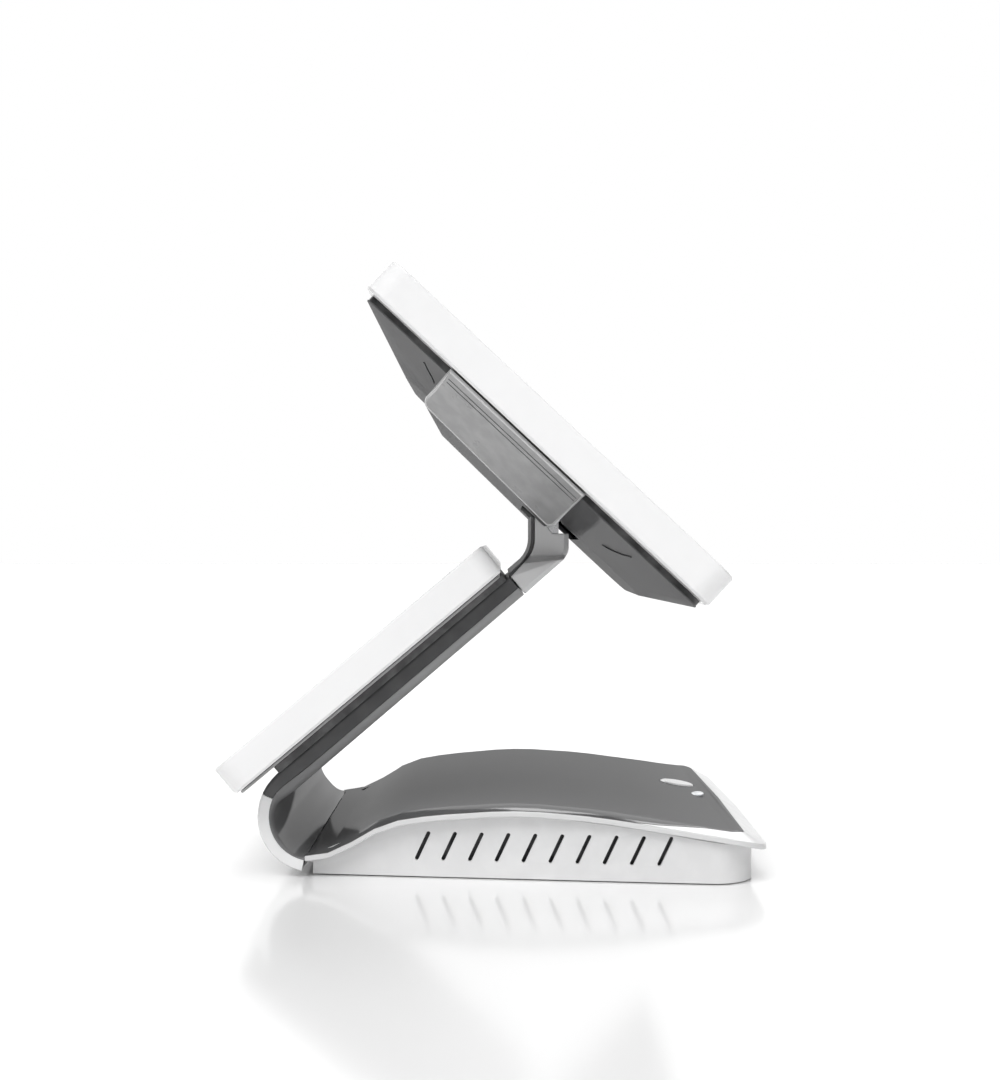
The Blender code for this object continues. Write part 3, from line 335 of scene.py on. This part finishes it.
def cover_glass(name, colour, roughness):
    """Hard-coated glass over black print, with faint finger smears in its gloss."""
    look, tree, shader = new_look(name)
    smears = spread(tree, noise(tree, 22.0, 6.0, (1.0, 1.6, 1.6)), roughness * 0.7, roughness * 2.4,
                    start=0.45, end=0.75)
    tree.links.new(smears, shader.inputs["Roughness"])
    specks = spread(tree, noise(tree, 2600.0, 1.0), 0.0, 1.0, start=0.72, end=0.8)
    dusty = [c + 0.02 for c in colour]
    tree.links.new(blend_colours(tree, specks, colour, dusty), shader.inputs["Base Color"])
    shader.inputs["IOR"].default_value = 1.5
    return look


def picture_area(name):
    """The dark LCD under the glass, with its fine cell grid."""
    look, tree, shader = new_look(name)
    cells = tree.nodes.new("ShaderNodeTexBrick")
    cells.offset = 0.0
    cells.inputs["Scale"].default_value = 1200.0
    cells.inputs["Mortar Size"].default_value = 0.04
    cells.inputs["Color1"].default_value = (0.013, 0.015, 0.019, 1.0)
    cells.inputs["Color2"].default_value = (0.016, 0.018, 0.023, 1.0)
    cells.inputs["Mortar"].default_value = (0.006, 0.006, 0.008, 1.0)
    tree.links.new(coordinates(tree), cells.inputs["Vector"])
    tree.links.new(cells.outputs["Color"], shader.inputs["Base Color"])
    smears = spread(tree, noise(tree, 22.0, 6.0), 0.06, 0.16, start=0.45, end=0.75)
    tree.links.new(smears, shader.inputs["Roughness"])
    return look


def circuit_board(name):
    """Green solder mask with copper tracks and pads."""
    look, tree, shader = new_look(name)
    tracks = tree.nodes.new("ShaderNodeTexBrick")
    tracks.inputs["Scale"].default_value = 260.0
    tracks.inputs["Mortar Size"].default_value = 0.03
    tracks.inputs["Color1"].default_value = (0.012, 0.10, 0.045, 1.0)
    tracks.inputs["Color2"].default_value = (0.010, 0.085, 0.04, 1.0)
    tracks.inputs["Mortar"].default_value = (0.03, 0.17, 0.07, 1.0)
    tree.links.new(coordinates(tree), tracks.inputs["Vector"])
    pads = tree.nodes.new("ShaderNodeTexVoronoi")
    pads.inputs["Scale"].default_value = 170.0
    tree.links.new(coordinates(tree), pads.inputs["Vector"])
    solder = tree.nodes.new("ShaderNodeMix")
    solder.data_type = "RGBA"
    solder.inputs["A"].default_value = (0.55, 0.5, 0.38, 1.0)
    around = spread(tree, pads.outputs["Distance"], 0.0, 1.0, start=0.12, end=0.16)
    tree.links.new(around, solder.inputs["Factor"])
    tree.links.new(tracks.outputs["Color"], solder.inputs["B"])
    tree.links.new(solder.outputs["Result"], shader.inputs["Base Color"])
    tree.links.new(spread(tree, noise(tree, 60.0), 0.3, 0.5), shader.inputs["Roughness"])
    add_bump(tree, shader, tracks.outputs["Fac"], 0.00002)
    return look


def light_pipe(name):
    """A milky clear light pipe."""
    look, tree, shader = new_look(name)
    milk = blend_colours(tree, noise(tree, 400.0), (0.78, 0.82, 0.86), (0.9, 0.93, 0.95))
    tree.links.new(milk, shader.inputs["Base Color"])
    tree.links.new(spread(tree, noise(tree, 300.0), 0.12, 0.25), shader.inputs["Roughness"])
    shader.inputs["Subsurface Weight"].default_value = 0.2
    shader.inputs["Subsurface Radius"].default_value = (0.002, 0.002, 0.002)
    return look


LOOKS = {
    "white_gloss": moulded("white_gloss", (0.87, 0.87, 0.873), 0.22, 0.000003),
    "light_grey": moulded("light_grey", (0.33, 0.33, 0.333), 0.3, 0.000003, gloss=0.1, coat=0.2),
    "grey_gloss": moulded("grey_gloss", (0.12, 0.12, 0.122), 0.16, 0.000002, gloss=0.0, coat=0.26),
    "dark_plastic": moulded("dark_plastic", (0.115, 0.115, 0.117), 0.24, 0.000003, gloss=0.0, coat=0.2),
    "black_glass": cover_glass("black_glass", (0.006, 0.006, 0.007), 0.045),
    "steel": brushed("steel", (0.56, 0.56, 0.57), 0.3, (0.05, 1.0, 1.0)),
    "aluminium": brushed("aluminium", (0.76, 0.76, 0.77), 0.28, (0.04, 1.0, 1.0)),
    "circuit_board": circuit_board("circuit_board"),
    "black_plastic": moulded("black_plastic", (0.014, 0.014, 0.015), 0.45, 0.00003, 1400.0),
    "rubber": moulded("rubber", (0.022, 0.022, 0.022), 0.75, 0.00004, 1800.0),
    "light_lens": light_pipe("light_lens"),
}
SCREEN_LOOK = picture_area("screen")
TRAY_LOOK = moulded("tray_white", (0.73, 0.73, 0.733), 0.34, 0.000006, gloss=0.35)
# The neck: paler than the belt's light grey, partly its own pale colour and partly painted light making up for the
# shadow the display casts on it
NECK_LIT_LOOK = moulded("neck_grey_painted_light", (0.78, 0.78, 0.783), 0.2, 0.000003, gloss=0.2, coat=0.3)
# Paler than the belt's light grey: painted highlight along the bead round each belt end
BEAD_HIGHLIGHT_LOOK = moulded("bead_grey_painted_highlight", (0.62, 0.62, 0.623), 0.2, 0.000003, gloss=0.2, coat=0.3)
# The lining: a paler copy of the grey gloss, paler again up the arm between two heights; both are painted
# highlight on the arm's rolled lower edge
LINING_HIGHLIGHT_LOOK = moulded("lining_grey_painted_highlight", (0.19, 0.19, 0.193), 0.16, 0.000002, gloss=0.0, coat=0.35,
                      highlight_climb=((0.4, 0.4, 0.403), 0.045, 0.11))
BUTTON_LOOK = moulded("button_white", (0.8, 0.8, 0.803), 0.18, 0.000002)
RIM_LOOK = moulded("rim_white", (0.68, 0.68, 0.683), 0.2, 0.000003)
SHOULDER_LOOK = moulded("shoulder_grey", (0.12, 0.12, 0.122), 0.14, 0.000002, gloss=0.0, coat=0.5)
OWN_LOOKS = {
    "base_tray": TRAY_LOOK,
    "base_rim": RIM_LOOK,
    "neck_cover": NECK_LIT_LOOK,
    "power_button": BUTTON_LOOK,
}
SLOT_OF = {part["node"]: part["material_slot"] for part in frame["record"]["subparts"]}
BODY_OF = {node: body for body, nodes in frame["record"]["behaviour"]["bodies"].items() for node in nodes}


# Mesh work

def link(name, mesh):
    """A new object with this mesh."""
    piece = bpy.data.objects.new(name, mesh)
    bpy.context.scene.collection.objects.link(piece)
    return piece


def stand_for(piece, node):
    """The piece replaces a CAD node on its body, and the node is hidden."""
    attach(piece, BODY_OF[node])
    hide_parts(node)


def soften(mesh, angle=35.0):
    """Smooth shading, with edges sharper than the angle kept."""
    mesh.shade_smooth()
    mesh.set_sharp_from_angle(angle=math.radians(angle))


def at_strap_seam(vertex):
    """Whether a point is at the parting line of base cover and bend lining, or of rim and bend shell."""
    return vertex.co.y > SEAM_Y * MM and vertex.co.z < SEAM_TOP * MM


def darken_back(mesh):
    """Gives the faces that look straight out of the display's back the rear cover's finish."""
    mesh.materials.append(LOOKS["dark_plastic"])
    backward = DISPLAY_FRAME.to_3x3() @ Vector((0.0, 0.0, -1.0))
    for face in mesh.polygons:
        if face.normal.dot(backward) > BACK_FACING and abs(face.normal.x) < BACK_SIDEWAYS:
            face.material_index = 1


def polish_shoulders(mesh):
    """Gives the cover's sloping shoulders their higher polish."""
    mesh.materials.append(SHOULDER_LOOK)
    for face in mesh.polygons:
        if face.normal.z > SHOULDER_FACING and abs(face.normal.x) > SHOULDER_SIDEWAYS:
            face.material_index = 1


def make_rounded(node, radius, reach):
    """A CAD node's shape with its flat faces cleaned up and its sharp edges rounded."""
    bm = bmesh.new()
    bm.from_mesh(frame["nodes"][node].data)
    bmesh.ops.remove_doubles(bm, verts=bm.verts, dist=WELD * MM)
    bmesh.ops.dissolve_limit(bm, angle_limit=math.radians(FLAT_ANGLE), verts=bm.verts, edges=bm.edges,
                             use_dissolve_boundaries=False)
    edges = [edge for edge in bm.edges if edge.is_manifold
             and edge.calc_face_angle(0.0) > math.radians(SHARP_ANGLE)
             and edge.calc_length() > SHORT_EDGE * MM]
    if reach:
        edges = [edge for edge in edges if not all(at_strap_seam(vertex) for vertex in edge.verts)]
    bmesh.ops.bevel(bm, geom=edges, offset=radius * MM, segments=BEVEL_STEPS, profile=0.5, affect="EDGES",
                    clamp_overlap=True, harden_normals=False)
    for vertex in bm.verts:
        if reach and at_strap_seam(vertex):
            vertex.co.y += reach * MM
    mesh = bpy.data.meshes.new(node + "_shell")
    bm.to_mesh(mesh)
    bm.free()
    mesh.materials.clear()
    mesh.materials.append(OWN_LOOKS.get(node, LOOKS[SLOT_OF[node]]))
    piece = link(node + "_shell", mesh)
    if node in DARK_BACKED:
        darken_back(mesh)
    if node == "base_top_cover":
        polish_shoulders(mesh)
    soften(mesh, SHELL_SMOOTH_ANGLE)
    weight = piece.modifiers.new("flat_faces", "WEIGHTED_NORMAL")
    weight.keep_sharp = True
    stand_for(piece, node)


def rounded_outline(half, low, high, radius, steps=8):
    """A rounded rectangle in X and Y, anticlockwise."""
    corners = ((half - radius, low + radius, -90.0), (half - radius, high - radius, 0.0),
               (radius - half, high - radius, 90.0), (radius - half, low + radius, 180.0))
    ring = []
    for x, y, start in corners:
        for i in range(steps + 1):
            a = math.radians(start + 90.0 * i / steps)
            ring.append((x + radius * math.cos(a), y + radius * math.sin(a)))
    return ring


def glass_slab(name, node, plan, screen, top, matrix):
    """A cover glass with softly rounded edges; its picture area is a second material."""
    half, low, high = plan
    bm = bmesh.new()
    layers = [(0.0, top - GLASS_THICKNESS), (0.0, top - GLASS_EDGE)]
    for a in (math.radians(30.0), math.radians(60.0), math.radians(90.0)):
        layers.append((GLASS_EDGE * (1.0 - math.cos(a)), top - GLASS_EDGE * (1.0 - math.sin(a))))
    rings = []
    for shrink, height in layers:
        outline = rounded_outline(half - shrink, low + shrink, high - shrink, GLASS_CORNER - shrink)
        rings.append([bm.verts.new(Vector((x, y, height)) * MM) for x, y in outline])
    for lower, upper in zip(rings, rings[1:]):
        for i in range(len(lower)):
            j = (i + 1) % len(lower)
            bm.faces.new((lower[i], lower[j], upper[j], upper[i]))
    bm.faces.new(list(reversed(rings[0])))
    inner = [bm.verts.new(Vector((x, y, top)) * MM) for x, y in rounded_outline(*screen, PICTURE_CORNER)]
    outer = rings[-1]
    for i in range(len(outer)):
        j = (i + 1) % len(outer)
        bm.faces.new((outer[i], outer[j], inner[j], inner[i]))
    picture = bm.faces.new(inner)
    picture.material_index = 1
    bmesh.ops.transform(bm, matrix=matrix, verts=bm.verts)
    mesh = bpy.data.meshes.new(name)
    bm.to_mesh(mesh)
    bm.free()
    mesh.materials.append(LOOKS["black_glass"])
    mesh.materials.append(SCREEN_LOOK)
    soften(mesh)
    stand_for(link(name, mesh), node)


def strap_point(distance, run):
    """Y and Z at a distance from the bend's axis and a run up the arm, in millimetres."""
    a = math.radians(ARM_NORMAL)
    return (BEND[0] + distance * math.cos(a) - run * math.sin(a),
            BEND[1] + distance * math.sin(a) + run * math.cos(a))


def make_glasses():
    """The two cover glasses."""
    glass_slab("touch_glass_slab", "touch_glass", MAIN_GLASS, MAIN_SCREEN, GLASS_TOP, DISPLAY_FRAME)
    y, z = strap_point(CUSTOMER_BACK, CUSTOMER_MIDDLE)
    turned = Matrix.Rotation(math.radians(CUSTOMER_TILT), 4, "X")
    place = Matrix.Translation((0.0, y * MM, z * MM)) @ turned
    glass_slab("customer_glass_slab", "customer_glass", CUSTOMER_GLASS, CUSTOMER_SCREEN, CUSTOMER_DEPTH,
               place)


def smooth_step(x, start, end):
    """Rises smoothly from 0 at start to 1 at end."""
    t = min(max((x - start) / (end - start), 0.0), 1.0)
    return t * t * (3.0 - 2.0 * t)


def lofted(name, rings, look, closed=False, inset=0.0):
    """A skin through closed rings of points in metres, with flat ends, or ends with an inset border."""
    bm = bmesh.new()
    made = [[bm.verts.new(point) for point in ring] for ring in rings]
    pairs = list(zip(made, made[1:]))
    if closed:
        pairs.append((made[-1], made[0]))
    for first, second in pairs:
        for i in range(len(first)):
            j = (i + 1) % len(first)
            bm.faces.new((first[i], first[j], second[j], second[i]))
    if not closed:
        ends = [bm.faces.new(list(reversed(made[0]))), bm.faces.new(made[-1])]
        if inset:
            bmesh.ops.inset_individual(bm, faces=ends, thickness=inset * MM)
    bmesh.ops.recalc_face_normals(bm, faces=bm.faces)
    mesh = bpy.data.meshes.new(name)
    bm.to_mesh(mesh)
    bm.free()
    mesh.materials.append(look)
    soften(mesh)
    return link(name, mesh)


def arm_half(run):
    """The strap's half width at a run up the arm."""
    return STRAP_HALF + (ARM_TOP_HALF - STRAP_HALF) * run / ARM_RUN


def lining_inner(angle):
    """Distance of the lining's inner face from the bend's axis, and its crown at the base cover."""
    crown = 0.0
    turned_in = smooth_step(angle, SHELL_END - BEND_EASE, ARM_NORMAL)
    inner = LINING_INNER + (ARM_INNER - LINING_INNER) * turned_in
    t = (angle - LINING_START) / LINING_BLEND
    if t < 1.0:
        rise = 2.0 * t ** 3 - 3.0 * t ** 2 + 1.0
        swell = t * (1.0 - t) ** 2
        inner += LINING_STEP * rise + LINING_SLOPE * LINING_BLEND * swell
        crown = LINING_CROWN * rise
    return inner, crown


def arm_section(angle, run):
    """A section of the arm's inner cover, its two outer edges rolled over the whole thickness."""
    half = arm_half(run)
    turned_in = smooth_step(angle, SHELL_END, ARM_NORMAL) * smooth_step(run, -ARM_EASE, ARM_EASE)
    seam = LINING_OUTER + (ARM_SEAM - LINING_OUTER) * turned_in + LINING_LAP
    inner, crown = lining_inner(angle)
    roll = ARM_ROLL * smooth_step(angle, *ROLL_GROWS) + LEAST_ROLL
    side = [(0.0, seam)]
    for i in range(ROLL_STEPS + 1):
        t = math.radians(90.0 * i / ROLL_STEPS)
        side.append((half - roll * (1.0 - math.cos(t)), seam - (seam - inner) * math.sin(t)))
    side.append((0.0, inner - crown))
    ring = side + [(-x, distance) for x, distance in reversed(side[1:-1])]
    a = math.radians(angle)
    return [Vector((x, BEND[0] + distance * math.cos(a) - run * math.sin(a),
                    BEND[1] + distance * math.sin(a) + run * math.cos(a))) * MM for x, distance in ring]


def make_arm_inner():
    """The glossy lining of the bend and the arm in one smooth sweep."""
    stations = [(LINING_START + (ARM_NORMAL - LINING_START) * i / BEND_STEPS, 0.0)
                for i in range(BEND_STEPS + 1)]
    stations += [(ARM_NORMAL, ARM_RUN * i / ARM_STEPS) for i in range(1, ARM_STEPS + 1)]
    rings = [arm_section(angle, run) for angle, run in stations]
    piece = lofted("arm_inner_sweep", rings, LINING_HIGHLIGHT_LOOK)
    stand_for(piece, "arm_inner_cover")


def make_customer_spacer():
    """The spacer that carries the customer display on the arm, in the arm's dark plastic; made as wide as the arm,
    its dark fill of the gap under the display is partly painted shade.
    """
    rings = []
    for i in range(SPACER_STEPS + 1):
        run = SPACER_RUN[0] + (SPACER_RUN[1] - SPACER_RUN[0]) * i / SPACER_STEPS
        half = arm_half(run) - SPACER_EDGE
        low, high = SPACER_DEPTH
        corners = ((-half, low), (half, low), (half, high - SPACER_EDGE), (half - SPACER_EDGE, high),
                   (SPACER_EDGE - half, high), (-half, high - SPACER_EDGE))
        rings.append([Vector((x, *strap_point(distance, run))) * MM for x, distance in corners])
    piece = lofted("customer_spacer", rings, LOOKS["dark_plastic"])
    stand_for(piece, "customer_bracket")


def round_ring(point, along, sideways, radius, sides):
    """A ring of points round a point in metres, square to a direction."""
    across = along.cross(Vector(sideways)).normalized()
    up = along.cross(across).normalized()
    return [point + (across * math.cos(a) + up * math.sin(a)) * radius * MM
            for a in (math.tau * k / sides for k in range(sides))]


def tube(name, path, radius, look):
    """A round bead along a closed path of points in metres."""
    rings = []
    count = len(path)
    for i in range(count):
        along = (path[(i + 1) % count] - path[i - 1]).normalized()
        rings.append(round_ring(path[i], along, (1.0, 0.0, 0.0), radius, BEAD_SIDES))
    return lofted(name, rings, look, closed=True)


def belt_half(out_of):
    """The belt's half width at a height in the display's frame."""
    share = (BELT_FRONT - out_of) / (BELT_FRONT - min(BELT_BACK))
    return BELT_HALF_FRONT + (BELT_HALF_BACK - BELT_HALF_FRONT) * share


def belt_end_path(side, inset):
    """The outline of one sloping end of the belt."""
    front = BELT_FRONT - inset
    corner = BELT_CORNER
    points = [(BELT_TOP - inset, front), (BELT_TOP - inset + 0.5 * BELT_LEAN, 0.5 * (front + BELT_BACK[0]))]
    for centre, start in (((BELT_TOP + BELT_LEAN - corner, BELT_BACK[0] + corner), 0.0),
                          ((BELT_BOTTOM + corner, BELT_BACK[1] + corner), -90.0)):
        for i in range(7):
            a = math.radians(start - 15.0 * i)
            points.append((centre[0] + (corner - inset) * math.cos(a),
                           centre[1] + (corner - inset) * math.sin(a)))
    points.append((BELT_BOTTOM + inset, front))
    return [DISPLAY_FRAME @ (Vector((side * belt_half(out_of), along, out_of)) * MM)
            for along, out_of in points]


def make_belt_beads():
    """A raised bead round each sloping end of the belt; its pale colour is a painted highlight along the belt's
    edge.
    """
    for name, side in (("left", -1.0), ("right", 1.0)):
        piece = tube("belt_bead_" + name, belt_end_path(side, BEAD_INSET), BEAD_RADIUS, BEAD_HIGHLIGHT_LOOK)
        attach(piece, "display")


def make_belt_panels():
    """A thin smooth panel inside each bead."""
    for name, side in (("left", -1.0), ("right", 1.0)):
        path = belt_end_path(side, BEAD_INSET)
        outward = (path[8] - path[0]).cross(path[-1] - path[0]).normalized()
        if outward.x * side < 0.0:
            outward = -outward
        rings = [[point + outward * lift * MM for point in path] for lift in PANEL_LIFTS]
        piece = lofted("belt_panel_" + name, rings, LOOKS["light_grey"], inset=PANEL_BORDER)
        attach(piece, "display")


def thread(name, points, radius, body, slot):
    """A thin open line laid along a surface, through points in metres."""
    rings = []
    last = len(points) - 1
    for i, point in enumerate(points):
        along = (points[min(i + 1, last)] - points[max(i - 1, 0)]).normalized()
        rings.append(round_ring(point, along, THREAD_SIDEWAYS, radius, THREAD_SIDES))
    piece = lofted(name, rings, LOOKS[slot])
    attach(piece, body)


def above_belt_end(side, along, out_of):
    """A point just above the sloping end of the belt."""
    half = belt_half(out_of) + LINE_SHIFT * LINE_LIFT
    return DISPLAY_FRAME @ (Vector((side * half, along, out_of - LINE_LIFT)) * MM)


def on_cover_slope(side, along, half):
    """A point on the rear cover's sloping side."""
    share = (COVER_EDGE_HALF - half) / (COVER_EDGE_HALF - COVER_FLAT_HALF)
    out_of = COVER_EDGE_OUT + (COVER_FLAT_OUT - COVER_EDGE_OUT) * share
    return DISPLAY_FRAME @ (Vector((side * half, along, out_of)) * MM)


def make_creases():
    """The two dark lines along each belt end, and the latch lines on the rear cover's sides as black threads whose
    black is painted shade of engraved grooves.
    """
    length = BELT_TOP - BELT_BOTTOM - 2.0 * LINE_GAP
    for name, side in (("left", -1.0), ("right", 1.0)):
        for number, out_of in enumerate(BELT_LINES):
            points = [above_belt_end(side, BELT_BOTTOM + LINE_GAP + length * i / LINE_STEPS, out_of)
                      for i in range(LINE_STEPS + 1)]
            thread(f"belt_line_{number}_{name}", points, LINE_RADIUS, "display", "dark_plastic")
        for number, latch in enumerate(COVER_LATCHES):
            points = [on_cover_slope(side, along, half) for along, half in latch]
            thread(f"cover_latch_{number}_{name}", points, LATCH_RADIUS, "display", "black_plastic")


def make_vent_shade_sheets():
    """A black sheet just inside each row of vent slots, painted shade in the vents."""
    low, high = VENT_SHADE_HEIGHTS
    corners = ((0.0, low), (VENT_SHADE_THICKNESS, low), (VENT_SHADE_THICKNESS, high), (0.0, high))
    for name, side in (("left", -1.0), ("right", 1.0)):
        rings = [[Vector((side * (half + x), y, z)) * MM for x, z in corners] for y, half in VENT_SHADE_LINE]
        piece = lofted("vent_shade_sheet_" + name, rings, LOOKS["black_plastic"])
        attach(piece, "base")


def make_status_lens():
    """A raised oval lens over the status light."""
    low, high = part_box("status_light")
    middle = 0.5 * (Vector(low) + Vector(high))
    rings = []
    for share, lift in LENS_PROFILE:
        rings.append([Vector((middle.x + LENS_HALF[0] * share * math.cos(a) * MM,
                              middle.y + LENS_HALF[1] * share * math.sin(a) * MM,
                              high[2] + lift * MM - LENS_SLOPE * LENS_HALF[1] * share * math.sin(a) * MM))
                      for a in (math.tau * k / LENS_SIDES for k in range(LENS_SIDES))])
    piece = lofted("status_lens", rings, LOOKS["light_lens"])
    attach(piece, "base")
    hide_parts("status_light")


def make_gap_shade():
    """A black strip that paints the shade in the shadow gap between the display's band and its rear cover."""
    outline = rounded_outline(*GAP_SHADE_OUTLINE)
    rings = [[DISPLAY_FRAME @ (Vector((x, y, height)) * MM) for x, y in outline]
             for height in GAP_SHADE_HEIGHTS]
    piece = lofted("rear_gap_shade", rings, LOOKS["black_plastic"])
    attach(piece, "display")


# Studio

def make_camera():
    """A level camera that looks along +X."""
    data = bpy.data.cameras.new("camera")
    data.lens = CAMERA_LENS
    data.sensor_width = CAMERA_SENSOR
    data.clip_start, data.clip_end = CAMERA_CLIP
    camera = bpy.data.objects.new("camera", data)
    camera.location = CAMERA_PLACE
    camera.rotation_euler = (math.radians(90.0), 0.0, math.radians(-90.0))
    bpy.context.scene.collection.objects.link(camera)
    bpy.context.scene.camera = camera


def make_world():
    """A pale surround: white round the horizon, dimmer overhead and at both ends, white to the camera."""
    world = bpy.data.worlds.new("studio")
    bpy.context.scene.world = world
    world.use_nodes = True
    nodes, links = world.node_tree.nodes, world.node_tree.links
    nodes.clear()
    out = nodes.new("ShaderNodeOutputWorld")
    mix = nodes.new("ShaderNodeMixShader")
    path = nodes.new("ShaderNodeLightPath")
    seen = nodes.new("ShaderNodeBackground")
    seen.inputs["Color"].default_value = (1.0, 1.0, 1.0, 1.0)
    lit = nodes.new("ShaderNodeBackground")
    where = nodes.new("ShaderNodeTexCoord")
    split = nodes.new("ShaderNodeSeparateXYZ")
    ramp = nodes.new("ShaderNodeValToRGB")
    links.new(where.outputs["Generated"], split.inputs[0])
    links.new(split.outputs["Z"], ramp.inputs[0])
    for stop, (height, tone) in zip(ramp.color_ramp.elements, (SKY_LOW, SKY_HIGH)):
        stop.position = height
        stop.color = (tone, tone, tone, 1.0)
    ends = nodes.new("ShaderNodeMath")
    ends.operation = "ABSOLUTE"
    links.new(split.outputs["Y"], ends.inputs[0])
    dim = spread(world.node_tree, ends.outputs[0], 1.0, SKY_END_SHARE, start=SKY_ENDS[0], end=SKY_ENDS[1])
    both = nodes.new("ShaderNodeVectorMath")
    both.operation = "SCALE"
    links.new(ramp.outputs[0], both.inputs[0])
    links.new(dim, both.inputs["Scale"])
    links.new(both.outputs[0], lit.inputs["Color"])
    lit.inputs["Strength"].default_value = SKY_STRENGTH
    links.new(path.outputs["Is Camera Ray"], mix.inputs[0])
    links.new(lit.outputs[0], mix.inputs[1])
    links.new(seen.outputs[0], mix.inputs[2])
    links.new(mix.outputs[0], out.inputs["Surface"])


def make_sun():
    """One soft light from high on the camera's side."""
    data = bpy.data.lights.new("key", "SUN")
    data.angle = math.radians(KEY_SPREAD)
    data.energy = KEY_ENERGY
    light = bpy.data.objects.new("key", data)
    light.rotation_euler = Vector(KEY_DIRECTION).to_track_quat("-Z", "Y").to_euler()
    bpy.context.scene.collection.objects.link(light)


def make_softbox():
    """A wide soft box beyond the terminal, which draws the highlights along its glossy shoulders."""
    data = bpy.data.lights.new("softbox", "AREA")
    data.shape = "RECTANGLE"
    data.size, data.size_y = SOFTBOX_SIZE
    data.energy = SOFTBOX_ENERGY
    light = bpy.data.objects.new("softbox", data)
    light.location = SOFTBOX_PLACE
    light.rotation_euler = (Vector(SOFTBOX_AIM) - light.location).to_track_quat("-Z", "Y").to_euler()
    light.visible_camera = False
    bpy.context.scene.collection.objects.link(light)


def make_floor():
    """A pale, slightly glossy floor."""
    bm = bmesh.new()
    bmesh.ops.create_grid(bm, x_segments=1, y_segments=1, size=FLOOR_REACH)
    mesh = bpy.data.meshes.new("floor")
    bm.to_mesh(mesh)
    bm.free()
    floor = link("floor", mesh)
    look, tree, shader = new_look("floor")
    shader.inputs["Base Color"].default_value = (FLOOR_TONE, FLOOR_TONE, FLOOR_TONE, 1.0)
    tree.links.new(spread(tree, noise(tree, 3.0), *FLOOR_ROUGHNESS), shader.inputs["Roughness"])
    mesh.materials.append(look)


make_camera()
make_world()
make_sun()
make_softbox()
make_floor()
for part_name, part_radius in ROUNDED.items():
    make_rounded(part_name, part_radius, SEAM_REACH.get(part_name, 0.0))
make_glasses()
make_arm_inner()
make_customer_spacer()
make_belt_beads()
make_belt_panels()
make_creases()
make_vent_shade_sheets()
make_status_lens()
make_gap_shade()
for node_name, node_object in frame["nodes"].items():
    node_object.data.materials.clear()
    node_object.data.materials.append(LOOKS[SLOT_OF[node_name]])
bpy.context.scene.view_settings.view_transform = "Standard"
